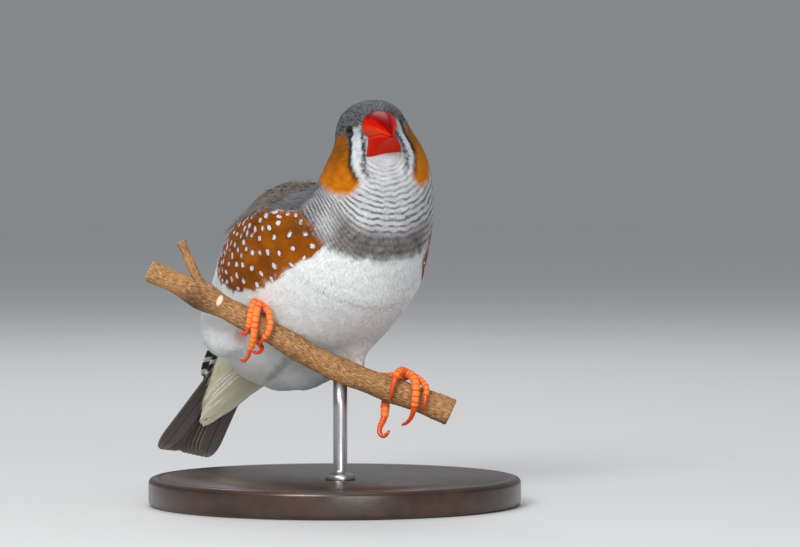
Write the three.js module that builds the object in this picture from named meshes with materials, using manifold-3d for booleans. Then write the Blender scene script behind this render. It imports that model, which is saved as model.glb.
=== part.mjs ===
// A male zebra finch, life size, gripping a cut length of sloping branch that one rod holds over a flat round base.
// Millimetres, +Z up. The bird's body faces -Y and its left side is +X; the origin is the middle of the base's underside.
import * as THREE from "three";
import { mergeVertices } from "three/addons/utils/BufferGeometryUtils.js";
import Module from "manifold-3d";

const wasm = await Module();
wasm.setup();

// Driving dimensions
const GAP = 0.3; // between touching pieces
const BODY_CENTRE = new THREE.Vector3(0.5, 7.6, 51.9);
const BODY_PITCH = 46.5; // degrees that the spine rises towards the head
const BODY_LEAN = 11; // degrees that the body leans towards its left
const EYES_MIDDLE = new THREE.Vector3(4.8, -9, 80.8);
const HEAD_YAW = 18; // degrees that the bill turns to the bird's right
const HEAD_PITCH = 2; // degrees that the bill points up
const HEAD_ROLL = 10.5; // degrees that the crown tips to the bird's right
const FACE_TURN = 5; // degrees that the bill and the eyes turn back to its left
const PERCH_TURN = 27; // degrees between the branch's run and +X
const PERCH_SLOPE = 25.3; // degrees that the branch falls towards the bird's left
const PERCH_MIDDLE = { height: 32.1, front: 8 }; // its axis where it crosses the base's centre line
const BASE = { radius: 40, height: 6, edge: 1.2 };
const ROD = { along: 1.4, radius: 1.5, foot: 3.2, footHeight: 1.6 };

const rad = THREE.MathUtils.degToRad;
const lerp = THREE.MathUtils.lerp;
const clamp = THREE.MathUtils.clamp;

// Frames: an origin with three unit axes
const frame = (origin, left, front, up) => ({ origin, left, front, up });
const place = (f, left, front, up) =>
  f.origin.clone().addScaledVector(f.left, left).addScaledVector(f.front, front).addScaledVector(f.up, up);

// The torso's frame: front is towards the belly, up is along the spine to the head
const lean = rad(BODY_LEAN);
const pitch = rad(BODY_PITCH);
const torsoUp = new THREE.Vector3(Math.sin(pitch) * Math.sin(lean), -Math.cos(pitch), Math.sin(pitch) * Math.cos(lean));
const torsoLeft = new THREE.Vector3(Math.cos(lean), 0, -Math.sin(lean));
const torsoFront = new THREE.Vector3().crossVectors(torsoLeft, torsoUp);
const TORSO = frame(BODY_CENTRE, torsoLeft, torsoFront, torsoUp);

// The head's frame: origin midway between the eyes, front along the bill, up to the crown
const headTurn = new THREE.Matrix4().makeRotationZ(-rad(HEAD_YAW))
  .multiply(new THREE.Matrix4().makeRotationX(-rad(HEAD_PITCH)))
  .multiply(new THREE.Matrix4().makeRotationY(-rad(HEAD_ROLL)));
const turned = (x, y, z) => new THREE.Vector3(x, y, z).applyMatrix4(headTurn);
const HEAD = frame(EYES_MIDDLE, turned(1, 0, 0), turned(0, -1, 0), turned(0, 0, 1));

// The face's frame, for the bill and the eyes: the head's own, turned a little further to the bird's left
const facing = rad(FACE_TURN);
const FACE = frame(EYES_MIDDLE, turned(Math.cos(facing), Math.sin(facing), 0),
  turned(Math.sin(facing), -Math.cos(facing), 0), HEAD.up);

// The perch's frame: left runs down the branch, up is square to it, front faces the viewer
const turn = rad(PERCH_TURN);
const slope = rad(PERCH_SLOPE);
const acrossPerch = new THREE.Vector3(Math.cos(turn), -Math.sin(turn), 0);
const perchFront = new THREE.Vector3(-Math.sin(turn), -Math.cos(turn), 0);
const perchRun = acrossPerch.clone().multiplyScalar(Math.cos(slope)).setZ(-Math.sin(slope));
const perchUp = acrossPerch.clone().multiplyScalar(Math.sin(slope)).setZ(Math.cos(slope));
const perchOrigin = perchFront.clone().multiplyScalar(PERCH_MIDDLE.front).setZ(PERCH_MIDDLE.height);
const PERCH = frame(perchOrigin, perchRun, perchFront, perchUp);
const onPerch = (run, up, front) => place(PERCH, run, front, up);

// Solids: closed rings of points become a mesh, and meshes are joined and cut as solids
function solidOf(points, faces) {
  const geometry = new THREE.BufferGeometry();
  geometry.setAttribute("position", new THREE.Float32BufferAttribute(points.flatMap((p) => [p.x, p.y, p.z]), 3));
  geometry.setIndex(faces.flat());
  return fromGeometry(geometry);
}

function fromGeometry(source) {
  const geometry = source.clone();
  geometry.deleteAttribute("normal");
  geometry.deleteAttribute("uv");
  const merged = mergeVertices(geometry, 1e-4);
  const made = new wasm.Manifold(new wasm.Mesh({
    numProp: 3,
    vertProperties: new Float32Array(merged.attributes.position.array),
    triVerts: new Uint32Array(merged.index.array),
  }));
  return made.volume() < 0 ? flipped(merged) : made;
}

function flipped(merged) {
  const triVerts = new Uint32Array(merged.index.array);
  for (let i = 0; i < triVerts.length; i += 3) [triVerts[i + 1], triVerts[i + 2]] = [triVerts[i + 2], triVerts[i + 1]];
  return new wasm.Manifold(new wasm.Mesh({
    numProp: 3,
    vertProperties: new Float32Array(merged.attributes.position.array),
    triVerts,
  }));
}

// Rings of equal count, from one end to the other, with a fan over each end
function loftRings(rings) {
  const count = rings[0].length;
  const points = rings.flat();
  const faces = [];
  for (let i = 0; i + 1 < rings.length; i++) {
    for (let j = 0; j < count; j++) {
      const k = (j + 1) % count;
      const a = i * count + j;
      const b = i * count + k;
      faces.push([a, b, b + count], [a, b + count, a + count]);
    }
  }
  for (const [ring, turnRound] of [[0, true], [rings.length - 1, false]]) {
    const middle = new THREE.Vector3();
    rings[ring].forEach((p) => middle.addScaledVector(p, 1 / count));
    const hub = points.push(middle) - 1;
    for (let j = 0; j < count; j++) {
      const a = ring * count + j;
      const b = ring * count + ((j + 1) % count);
      faces.push(turnRound ? [b, a, hub] : [a, b, hub]);
    }
  }
  return solidOf(points, faces);
}

const largest = (solid) => solid.decompose().reduce((a, b) => (b.volume() > a.volume() ? b : a));
const join = (solids) => solids.reduce((a, b) => a.add(b));

// A tube of changing radius along a smooth path; bumps widen it at the joints of a toe
function tube(path, radiusAt, steps, sides) {
  const curve = new THREE.CatmullRomCurve3(path);
  const frames = curve.computeFrenetFrames(steps, false);
  const rings = [];
  for (let i = 0; i <= steps; i++) {
    const at = curve.getPointAt(i / steps);
    const radius = radiusAt(i / steps);
    rings.push(Array.from({ length: sides }, (_, j) => {
      const angle = (2 * Math.PI * j) / sides;
      return at.clone().addScaledVector(frames.normals[i], radius * Math.cos(angle))
        .addScaledVector(frames.binormals[i], radius * Math.sin(angle));
    }));
  }
  return loftRings(rings);
}

// Smooth curve through numbers that stand at whole steps
function through(values, s) {
  const last = values.length - 1;
  const i = clamp(Math.floor(s), 0, last - 1);
  const t = s - i;
  const p1 = values[i];
  const p2 = values[i + 1];
  const p0 = i > 0 ? values[i - 1] : 2 * p1 - p2;
  const p3 = i + 2 <= last ? values[i + 2] : 2 * p2 - p1;
  return p1 + 0.5 * t * (p2 - p0 + t * (2 * p0 - 5 * p1 + 4 * p2 - p3 + t * (3 * (p1 - p2) + p3 - p0)));
}

// The body's stations from the vent to the crown. Each is an oval: how far its middle stands along the spine or above
// the eyes, how far it is set to the front, its half width, its reach to the front and back, and how pointed the front is
const torsoStation = (along, forward, half, front, back, point = 2, aside = 0) =>
  ({ frame: TORSO, along, forward, half, front, back, point, aside });
const headStation = (along, forward, half, front, back, point = 2, aside = 0) =>
  ({ frame: HEAD, along, forward, half, front, back, point, aside });
// Midway between shoulders and head the two frames are mixed
const mixed = (a, b) => a.clone().add(b).normalize();
const NECK = frame(place(TORSO, 0, 0.8, 12).lerp(place(HEAD, -1.8, -3.4, -10), 0.5),
  mixed(TORSO.left, HEAD.left), mixed(TORSO.front, HEAD.front), mixed(TORSO.up, HEAD.up));
const STATIONS = [
  torsoStation(-36, -2, 1, 1, 2),
  torsoStation(-35, -2, 4, 4.4, 5),
  torsoStation(-32, -1.6, 8.2, 8.4, 8),
  torsoStation(-26.5, -1, 12.8, 13, 11.2),
  torsoStation(-19.5, -0.5, 16.9, 16.6, 14.4, 2, -0.3),
  torsoStation(-11, 0, 19.4, 18.8, 17, 2, -0.4),
  torsoStation(-2, 0.4, 20.7, 20, 18, 2, -0.4),
  torsoStation(7, 0.8, 20.2, 20.3, 15.8, 2, -0.1),
  torsoStation(12, 0.8, 19.1, 19.7, 13),
  { frame: NECK, along: 0, forward: 0, half: 16, front: 16.7, back: 11.4, point: 2, aside: 0.3 },
  headStation(-10, -3.4, 12.6, 11.4, 11.8, 2, -1.9),
  headStation(-5.5, -3, 10.3, 9.3, 10.8, 1.8, -0.5),
  headStation(-2, -3, 8.4, 9.4, 10.2, 1.6),
  headStation(0.8, -3, 7.5, 9.6, 9.4, 1.6),
  headStation(3, -3, 6.5, 9.2, 8, 1.6),
  headStation(4.7, -3, 4.9, 6.6, 6, 1.8),
  headStation(5.7, -3, 2.8, 3.6, 3.6),
  headStation(6.05, -3, 0.8, 1, 1),
];
const LAST = STATIONS.length - 1;
const middles = STATIONS.map((st) => place(st.frame, st.aside, st.forward, st.along));
const lefts = STATIONS.map((st) => st.frame.left);
const fronts = STATIONS.map((st) => st.frame.front);
const vectorThrough = (vectors, s) => new THREE.Vector3(
  through(vectors.map((v) => v.x), s), through(vectors.map((v) => v.y), s), through(vectors.map((v) => v.z), s));
const sizeThrough = (name, s) => through(STATIONS.map((st) => st[name]), s);

// The oval at s, widened by extra: angle 0 is the bird's left, 90 degrees its front
function ovalAt(s, extra = 0) {
  const middle = vectorThrough(middles, s);
  const left = vectorThrough(lefts, s).normalize();
  const front = vectorThrough(fronts, s).normalize();
  const half = Math.max(sizeThrough("half", s), 0.3) + extra;
  const reachFront = Math.max(sizeThrough("front", s), 0.3) + extra;
  const reachBack = Math.max(sizeThrough("back", s), 0.3) + extra;
  const point = sizeThrough("point", s);
  return (angle) => {
    const c = Math.cos(angle);
    const f = Math.sin(angle);
    const power = 2 / (f > 0 ? point : 2);
    const across = half * Math.sign(c) * Math.abs(c) ** power;
    const along = (f > 0 ? reachFront : reachBack) * Math.sign(f) * Math.abs(f) ** power;
    return middle.clone().addScaledVector(left, across).addScaledVector(front, along);
  };
}

const BODY_SIDES = 24;
const BODY_STEPS = 32;
function bodySolid(extra) {
  const rings = [];
  for (let i = 0; i <= BODY_STEPS; i++) {
    const oval = ovalAt((i / BODY_STEPS) * LAST, extra);
    rings.push(Array.from({ length: BODY_SIDES }, (_, j) => oval((2 * Math.PI * j) / BODY_SIDES)));
  }
  return loftRings(rings);
}

// A closed block in a frame, from its low to its high corner along left, front and up
function block(f, low, high) {
  const corner = (i) => place(f, i & 1 ? high[0] : low[0], i & 2 ? high[1] : low[1], i & 4 ? high[2] : low[2]);
  const points = Array.from({ length: 8 }, (_, i) => corner(i));
  const faces = [[0, 1, 3], [0, 3, 2], [4, 7, 5], [4, 6, 7], [0, 5, 1], [0, 4, 5], [2, 3, 7], [2, 7, 6], [0, 2, 6], [0, 6, 4],
    [1, 5, 7], [1, 7, 3]];
  return solidOf(points, faces);
}

// The thin cuts that part torso, neck and head
const NECK_CUT = 9.5; // along the spine
const HEAD_CUT = -11.4; // below the eyes
const NAPE_LIFT = 25; // degrees that this cut rises towards the nape
const COLLAR = frame(place(TORSO, 0, 0, NECK_CUT), HEAD.left, HEAD.front, TORSO.up.clone().add(HEAD.up).normalize());
const nape = rad(NAPE_LIFT);
const THROAT = frame(place(HEAD, 0, 0, HEAD_CUT), HEAD.left,
  HEAD.front.clone().multiplyScalar(Math.cos(nape)).addScaledVector(HEAD.up, -Math.sin(nape)),
  HEAD.up.clone().multiplyScalar(Math.cos(nape)).addScaledVector(HEAD.front, Math.sin(nape)));
COLLAR.front = new THREE.Vector3().crossVectors(COLLAR.up, HEAD.left).normalize();
COLLAR.left = new THREE.Vector3().crossVectors(COLLAR.front, COLLAR.up);
const REACH = 60;
const slab = (f, at) => block(f, [-REACH, -REACH, at - GAP / 2], [REACH, REACH, at + GAP / 2]);
const beyond = (f, at) => block(f, [-REACH, -REACH, at], [REACH, REACH, at + 2 * REACH]);

// Where a level of the torso falls among the stations
const TORSO_STATIONS = STATIONS.filter((st) => st.frame === TORSO);
function levelOf(along) {
  let s = 0;
  while (s + 2 < TORSO_STATIONS.length && TORSO_STATIONS[s + 1].along < along) s++;
  let low = s;
  let high = s + 1;
  for (let i = 0; i < 24; i++) {
    const mid = (low + high) / 2;
    if (through(TORSO_STATIONS.map((st) => st.along), mid) < along) low = mid;
    else high = mid;
  }
  return (low + high) / 2;
}

// A point over the torso: along the spine, round from the flank (0) to the back (90), lifted off the surface.
// Behind LEAVE the folded wing stands clear of the rump and runs on straight
const LEAVE = -17;
const WING_TAPER = { half: 0.36, back: 0.1 };
function overTorso(side, along, round, lift) {
  const level = Math.max(along, LEAVE);
  const past = Math.max(LEAVE - along, 0);
  const s = levelOf(level);
  const half = sizeThrough("half", s) - WING_TAPER.half * past + lift;
  const back = sizeThrough("back", s) - WING_TAPER.back * past + lift;
  const angle = rad(round);
  return place(TORSO, side * half * Math.cos(angle), sizeThrough("forward", s) - back * Math.sin(angle), along);
}

// A feather vane: a thin leaf of three points across and a ridge, with both faces split alike.
// spine(t) gives its middle and across(t) its side direction; up is the side it shows
const LONG_STEPS = [0, 0.3, 0.58, 0.84, 1];
const SHORT_STEPS = [0, 0.48, 0.82, 1];
function vane({ spine, width, thick = 0.5, tip = 0.55, slant = 0, steps = SHORT_STEPS }) {
  const rings = [];
  for (const t of steps) {
    const at = spine(t);
    const next = spine(Math.min(t + 0.02, 1));
    const before = spine(Math.max(t - 0.02, 0));
    const run = next.point.clone().sub(before.point).normalize();
    const up = at.up.clone().addScaledVector(run, -at.up.dot(run)).normalize();
    const side = new THREE.Vector3().crossVectors(up, run);
    const rounding = t < tip ? 1 : Math.sqrt(Math.max(1 - ((t - tip) / (1 - tip)) ** 2, 0.04));
    const half = (width / 2) * rounding * lerp(0.72, 1, Math.min(t / 0.35, 1));
    const thin = (thick / 2) * lerp(1, 0.7, t);
    const put = (across, lift) => at.point.clone().addScaledVector(side, across * half)
      .addScaledVector(up, lift + slant * across);
    rings.push([put(-1, thin * 0.7), put(0, thin * 1.25), put(1, thin * 0.7), put(1, -thin * 0.7), put(0, -thin),
      put(-1, -thin * 0.7)]);
  }
  return loftRings(rings);
}

// Wings: an arm under the coverts, and rows of vanes that grow from it and overlap like tiles
const WING_LOW = 34; // degrees round from the flank
const WING_HIGH = 80;
const POCKET_DEPTH = 3.1;
const WING_FRONT = 11;
const WING_END = -43;
// The wing's lower and upper edges at a level, which draw together towards the tip
function wingEdges(along) {
  const t = clamp((WING_FRONT - along) / (WING_FRONT - WING_END), 0, 1);
  return [lerp(WING_LOW - 12, WING_LOW + 16, t), lerp(WING_HIGH - 10, WING_HIGH, Math.min(t * 4, 1))];
}

// A closed sheet over the torso between two lifts and the wing's edges, drawn in by margin degrees
function wingSheet(side, from, to, low, [highFrom, highTo], margin, steps, round = 0) {
  const columns = 6;
  const rings = [];
  for (let i = 0; i <= steps; i++) {
    const t = i / steps;
    const along = lerp(from, to, t);
    const [lower, upper] = wingEdges(along);
    const ends = Math.sqrt(Math.max(1 - (2 * t - 1) ** 6, 0.05));
    const at = (j, lift) => overTorso(side, along, lerp(lower + margin, upper - margin, 0.5 + (j / columns - 0.5) * (round ? ends : 1)), lift);
    const high = lerp(highFrom, highTo, t ** 1.5);
    const top = (j) => high - round * (Math.abs(2 * j / columns - 1) ** 2);
    rings.push([
      ...Array.from({ length: columns + 1 }, (_, j) => at(j, top(j))),
      ...Array.from({ length: columns + 1 }, (_, j) => at(columns - j, low)),
    ]);
  }
  return loftRings(rings);
}

// One row of vanes: roots from one place to another, tips likewise, each lifted a little over the one before
function wingRow(side, row) {
  return Array.from({ length: row.count }, (_, i) => {
    const t = row.count > 1 ? i / (row.count - 1) : 0;
    const rootAlong = lerp(row.rootFrom[0], row.rootTo[0], t);
    const rootRound = lerp(row.rootFrom[1], row.rootTo[1], t);
    const tipAlong = lerp(row.tipFrom[0], row.tipTo[0], t);
    const tipRound = lerp(row.tipFrom[1], row.tipTo[1], t);
    const lift = lerp(row.lift[0], row.lift[1], t);
    const spine = (q) => {
      const along = lerp(rootAlong, tipAlong, q);
      const round = lerp(rootRound, tipRound, q ** 1.3);
      const point = overTorso(side, along, round, lift + row.rise * q);
      const above = overTorso(side, along, round, lift + row.rise * q + 1);
      return { point, up: above.sub(point) };
    };
    return vane({ spine, width: row.width, tip: 0.6, slant: side * row.slant, steps: row.steps ?? SHORT_STEPS });
  });
}

const WING_ROWS = [
  { count: 5, rootFrom: [-9, 47], rootTo: [-12, 50], tipFrom: [-42, 66], tipTo: [-27, 58], lift: [-1.9, -1.3], rise: 0, width: 5.4, slant: 0.25,
    steps: LONG_STEPS },
  { count: 4, rootFrom: [-7, 46], rootTo: [-8, 62], tipFrom: [-26, 56], tipTo: [-21, 68], lift: [-1.2, -0.7], rise: 0, width: 6, slant: 0.25 },
  { count: 3, rootFrom: [-5, 64], rootTo: [-3, 72], tipFrom: [-23, 70], tipTo: [-15, 74], lift: [-0.6, 0], rise: 0, width: 6, slant: 0.2 },
  { count: 4, rootFrom: [4, 35], rootTo: [1, 69], tipFrom: [-12, 46], tipTo: [-8, 70], lift: [-0.5, 0], rise: 0, width: 6.4, slant: 0.22 },
  { count: 3, rootFrom: [7.5, 36], rootTo: [7, 66], tipFrom: [-1, 43], tipTo: [0, 65], lift: [0, 0.3], rise: 0, width: 7, slant: 0.2 },
];

function wingSolid(side) {
  const arm = wingSheet(side, WING_FRONT - 1, -16, -POCKET_DEPTH + GAP, [0.1, -1.7], 5, 6, 0.9);
  return largest(join([arm, ...WING_ROWS.flatMap((row) => wingRow(side, row))]));
}
const wingPocket = (side) => wingSheet(side, WING_FRONT, WING_END, -POCKET_DEPTH, [8, 8], -3, 12);

// Tail: twelve feathers, the middle pair on top, the outer ones lowest and a little spread
const TAIL = { root: -30, length: 41, pairs: 5, width: 5.2, step: 0.48, top: -9.6, spread: 4.2, rootSpread: 1.6, parting: 1 };
function tailVane(side, i) {
  const share = i / (TAIL.pairs - 1);
  const tilt = rad(TAIL.spread * share);
  const length = TAIL.length * lerp(1, 0.97, share);
  const height = TAIL.top + TAIL.step * i;
  const spine = (q) => ({
    point: place(TORSO, side * (0.3 + TAIL.rootSpread * share + length * q * Math.sin(tilt) + TAIL.parting * q * q),
      height + 0.4 * q * q, TAIL.root - length * q * Math.cos(tilt)),
    up: TORSO.front.clone().negate(),
  });
  return vane({ spine, width: TAIL.width, tip: 0.8, slant: side * 0.12 });
}
const tailSolid = () => largest(join([-1, 1].flatMap((side) =>
  Array.from({ length: TAIL.pairs }, (_, i) => tailVane(side, i)))));
// The room that the tail needs, which the coverts keep out of
const tailRoom = () => {
  const wide = (q) => 0.3 + TAIL.rootSpread + TAIL.length * q * Math.sin(rad(TAIL.spread)) + TAIL.width / 2 + 1 + TAIL.parting * q * q;
  const rings = [-0.02, 0.5, 1.1].map((q) => {
    const along = TAIL.root - TAIL.length * q;
    const low = TAIL.top - 0.5 - GAP;
    const high = TAIL.top + TAIL.step * (TAIL.pairs - 1) + 1.3 + GAP;
    return [[-1, low], [1, low], [1, high], [-1, high]].map(([side, front]) => place(TORSO, side * wide(q), front, along));
  });
  return loftRings(rings);
};

// Tail coverts: vanes that lie over the tail's root, above and below it
function covertRow(count, spread, narrowing, root, length, width, [frontRoot, frontTip], shown, thick) {
  return Array.from({ length: count }, (_, i) => {
    const t = count > 1 ? (2 * i) / (count - 1) - 1 : 0;
    const reach = length * (1 - 0.16 * t * t);
    const spine = (q) => ({
      point: place(TORSO, t * spread * lerp(1, narrowing, q), lerp(frontRoot, frontTip, q) - 0.5 * shown * t * t, root - reach * q),
      up: TORSO.front.clone().multiplyScalar(shown),
    });
    return vane({ spine, width, thick, tip: 0.5, slant: 0.05 * t });
  });
}
const coreCone = (root, length, half, front, back, offset, drift) => loftRings([0, 0.35, 0.7, 1].map((q) => {
  const shrink = lerp(1, 0.35, q);
  return Array.from({ length: 14 }, (_, j) => {
    const angle = (2 * Math.PI * j) / 14;
    const reach = Math.sin(angle) > 0 ? front : back;
    return place(TORSO, half * shrink * Math.cos(angle), offset + drift * q + reach * shrink * Math.sin(angle), root - length * q);
  });
}));
const underCoverts = () => join([
  coreCone(-26, 19, 6.6, 9.6, 5, -2.4, -4.2),
  ...covertRow(4, 4.4, 0.6, -28, 25, 5.6, [5.6, -4.6], 1, 1),
  ...covertRow(3, 3, 0.6, -31, 27, 5.2, [4.4, -6], 1, 1),
]);
const upperCoverts = () => join([
  coreCone(-24, 9, 5.6, 2, 3.8, -9, -1.4),
  ...covertRow(4, 5.6, 0.76, -25, 27, 4.8, [-11.8, -11.1], -1, 0.7),
  ...covertRow(3, 3.4, 0.6, -27, 28, 4.8, [-11.3, -10.8], -1, 0.7),
]);

// Bill: rings from the face to the tip. The upper half is round, the lower one a trough that widens downwards
const BILL = { base: 4.9, tuck: 40, points: 10 };
const billLoft = (rows, section) => loftRings(rows.map((row) => Array.from({ length: BILL.points }, (_, j) => {
  const [left, rise] = section(row, j / (BILL.points - 1));
  return place(FACE, left, row.front, row.gape + row.depth * rise);
})));
function roundSection({ half }, share) {
  const angle = rad(lerp(-BILL.tuck, 180 + BILL.tuck, share));
  const tuck = Math.sin(rad(BILL.tuck));
  return [half * Math.cos(angle), (Math.sin(angle) + tuck) / (1 + tuck)];
}
function troughSection({ half, wide }, share) {
  const [across, down] = [Math.cos(Math.PI * share), Math.max(Math.sin(Math.PI * share), 0)];
  return [lerp(half, wide, down ** 0.7) * Math.sign(across) * Math.abs(across) ** 0.3, down ** 0.45];
}
const billUpper = () => billLoft([
  { front: BILL.base, gape: -1.7, half: 3.75, depth: 5.3 },
  { front: BILL.base + 2, gape: -1.6, half: 3.5, depth: 4.9 },
  { front: BILL.base + 4.2, gape: -1.55, half: 2.85, depth: 4 },
  { front: BILL.base + 6.4, gape: -1.6, half: 2, depth: 2.8 },
  { front: BILL.base + 8.2, gape: -1.85, half: 1.05, depth: 1.55 },
  { front: BILL.base + 9.3, gape: -2.3, half: 0.4, depth: 0.6 },
], roundSection);
const billLower = () => billLoft([
  { front: BILL.base - 0.6, gape: -1.7, half: 2.9, wide: 4.7, depth: -4.8 },
  { front: BILL.base + 1.4, gape: -1.7, half: 2.75, wide: 4.3, depth: -4 },
  { front: BILL.base + 3.8, gape: -1.7, half: 2.3, wide: 3.1, depth: -2.6 },
  { front: BILL.base + 6, gape: -1.75, half: 1.55, wide: 1.9, depth: -1.6 },
  { front: BILL.base + 8, gape: -2, half: 0.7, wide: 0.8, depth: -0.75 },
], troughSection);
const nostril = (side) => fromGeometry(new THREE.SphereGeometry(0.42, 8, 6)).translate(
  ...place(FACE, side * 2.75, BILL.base + 2, 2.1).toArray());

// Eyes: a ball in its socket, with lids as a ring round the opening
const EYE = { radius: 2.3, left: 4.1, front: 0.7, up: 0, lookOut: 59, opening: 1.72, lid: 0.42 };
const eyeCentre = (side) => place(FACE, side * EYE.left, EYE.front, EYE.up);
const eyeAxis = (side) => FACE.front.clone().multiplyScalar(Math.cos(rad(EYE.lookOut)))
  .addScaledVector(FACE.left, side * Math.sin(rad(EYE.lookOut)));
const eyeBall = (side, radius) => fromGeometry(new THREE.SphereGeometry(radius, 14, 9)).translate(...eyeCentre(side).toArray());
function lids(side) {
  const ring = new THREE.TorusGeometry(EYE.opening + 0.1, EYE.lid, 5, 14);
  const towards = eyeAxis(side);
  ring.applyQuaternion(new THREE.Quaternion().setFromUnitVectors(new THREE.Vector3(0, 0, 1), towards));
  const at = eyeCentre(side).addScaledVector(towards, Math.sqrt(EYE.radius ** 2 - EYE.opening ** 2));
  return fromGeometry(ring).translate(...at.toArray());
}

// Perch: a branch with slow swellings, a fork's stub at its high end, and square cut ends
const BRANCH = { from: -43.5, to: 27.5, thin: 2.25, thick: 2.8, sides: 11, steps: 20 };
const branchRadius = (run) => lerp(BRANCH.thin, BRANCH.thick, (run - BRANCH.from) / (BRANCH.to - BRANCH.from))
  + 0.65 * Math.exp(-(((run + 31.5) / 4.5) ** 2)) + 0.12 * Math.sin(run * 0.55);
const branchBend = (run) => -1.95 * Math.exp(-(((run - 1.5) / (run < 1.5 ? 20 : 15)) ** 2));
function branchSolid(extra) {
  return loftRings(Array.from({ length: BRANCH.steps + 1 }, (_, i) => {
    const run = lerp(BRANCH.from - extra, BRANCH.to + extra, i / BRANCH.steps);
    const radius = branchRadius(run) + extra;
    return Array.from({ length: BRANCH.sides }, (_, j) => {
      const angle = (2 * Math.PI * j) / BRANCH.sides;
      const uneven = 1 + 0.03 * Math.sin(3 * angle + run * 0.3);
      return onPerch(run, branchBend(run) + radius * uneven * Math.cos(angle), radius * uneven * Math.sin(angle));
    });
  }));
}
const TWIG = { root: [-30.5, 0.4, 0], elbow: [-35, 4, 0.4], end: [-40, 8.4, 0.2] };
const twigStub = () => tube([onPerch(...TWIG.root), onPerch(...TWIG.elbow), onPerch(...TWIG.end)],
  (t) => lerp(1.5, 0.95, Math.min(t * 2.2, 1)) + 0.12 * Math.sin(t * 14), 10, 9);
const perchSolid = () => branchSolid(0).add(twigStub());

// Stand: a disc with an eased edge, and a rod with a small foot
const lathe = (profile, segments) => {
  const geometry = new THREE.LatheGeometry(profile.map(([r, h]) => new THREE.Vector2(r, h)), segments);
  geometry.rotateX(Math.PI / 2);
  return geometry;
};
const standBase = () => fromGeometry(lathe([
  [0, 0], [BASE.radius - BASE.edge, 0], [BASE.radius, BASE.edge], [BASE.radius, BASE.height - BASE.edge],
  [BASE.radius - BASE.edge * 0.4, BASE.height - BASE.edge * 0.35], [BASE.radius - BASE.edge, BASE.height], [0, BASE.height],
], 40));
function standRod() {
  const foot = onPerch(ROD.along, 0, 0);
  const top = foot.z;
  const rod = fromGeometry(lathe([
    [0, BASE.height + GAP], [ROD.foot, BASE.height + GAP], [ROD.foot, BASE.height + GAP + ROD.footHeight * 0.6],
    [ROD.radius, BASE.height + GAP + ROD.footHeight], [ROD.radius, top], [0, top],
  ], 20)).translate(foot.x, foot.y, 0);
  return largest(rod.subtract(branchSolid(GAP)));
}

// Feet: paths in the perch's frame as [run, up, front]; claws go on from the toes
const CLEAR = 0.3;
const FEET = {
  right: {
    shank: [[-20.3, -5.6, -12.6], [-20.2, -1.2, -7.6], [-19.6, 2.9, -2.4]],
    pad: [-19.4, 3.4, -1.1],
    toes: {
      inner: { path: [[-20.2, 3.5, -0.5], [-20.5, 3.0, 2.0], [-19.9, 0.4, 3.7], [-19.2, -1.9, 3.2]], claw: [[-19.1, -2.5, 2.9], [-19.2, -3.6, 2.1], [-19.8, -3.7, 1.4], [-20.4, -3.2, 1.2]], radius: 0.74 },
      middle: { path: [[-19.3, 3.6, -0.2], [-19.3, 2.7, 2.6], [-18.6, 0.3, 3.8], [-17.6, -2.6, 3.4], [-17, -4.8, 2.4], [-16.9, -6, 1.7]], claw: [[-16.8, -6.6, 1.4], [-16.7, -7.9, 0.7], [-17.1, -9, 0], [-18, -9, -0.5]], radius: 0.85 },
      outer: { path: [[-18.6, 3.5, -0.3], [-16.9, 2.9, 2.2], [-15.4, 0.9, 3.7], [-15, -1.2, 3.6], [-15.3, -2.5, 2.9]], claw: [[-15.4, -3.1, 2.5], [-15.8, -4.1, 1.6], [-16.3, -4.4, 0.6]], radius: 0.76 },
      hind: { path: [[-19.2, 3.0, -2.2], [-18.4, 0.6, -4.0], [-17, -2.2, -3.6], [-15.9, -3.9, -2]], claw: [[-15.6, -4.3, -1.5], [-14.7, -4.9, 0.1], [-15.1, -6, 1.2], [-16.3, -6.3, 1.6]], radius: 0.9 },
    },
  },
  left: {
    shank: [[7.2, -1.2, -11], [12, 0.8, -6.2], [15.1, 2.9, -2.4]],
    pad: [15.6, 3.4, -1.1],
    toes: {
      inner: { path: [[15, 3.5, -0.7], [14.2, 3.6, 0.8], [13.6, 2.9, 2.6], [13.5, 1.8, 3.6]], claw: [[13.6, 1.1, 3.9], [13.9, -0.4, 3.9], [14.3, -1.9, 3.3], [14.6, -2.9, 2.6]], radius: 0.86 },
      middle: { path: [[15.9, 3.6, -0.1], [17.3, 3.2, 2.0], [18.3, 1.9, 3.4], [19.1, 0, 3.9], [19.8, -2.1, 3.5]], claw: [[20, -2.8, 3.2], [20.2, -4.3, 2.4], [19.9, -5.8, 1.6], [19.1, -6.9, 1.1]], radius: 0.95 },
      outer: { path: [[16.3, 3.5, -0.9], [18.4, 3.5, 0.6], [20.3, 2.7, 2.6], [21, 1.1, 3.7]], claw: [[21.2, 0.4, 4], [21.6, -0.9, 3.8], [21.8, -2.1, 3.2]], radius: 0.72 },
      hind: { path: [[15.4, 3, -2.2], [14.5, 0.4, -4.2], [14, -2.4, -3.9], [14.2, -4.5, -2.8], [14.8, -6, -2], [15.2, -7.1, -1.4]], claw: [[15.2, -7.8, -1.1], [15.2, -9.3, -0.4], [15.7, -10.5, 0.2], [16.8, -10.6, 0.6], [17.3, -9, 0.8]], radius: 1.05 },
    },
  },
};

// Keeps a point of a path at least its own radius and the clear gap off the branch
function offBranch([run, up, front], radius) {
  const rise = up - branchBend(run);
  const distance = Math.hypot(rise, front);
  const least = branchRadius(run) * 1.03 + radius + CLEAR;
  const push = distance < least ? least / distance : 1;
  return onPerch(run, branchBend(run) + rise * push, front * push);
}

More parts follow.
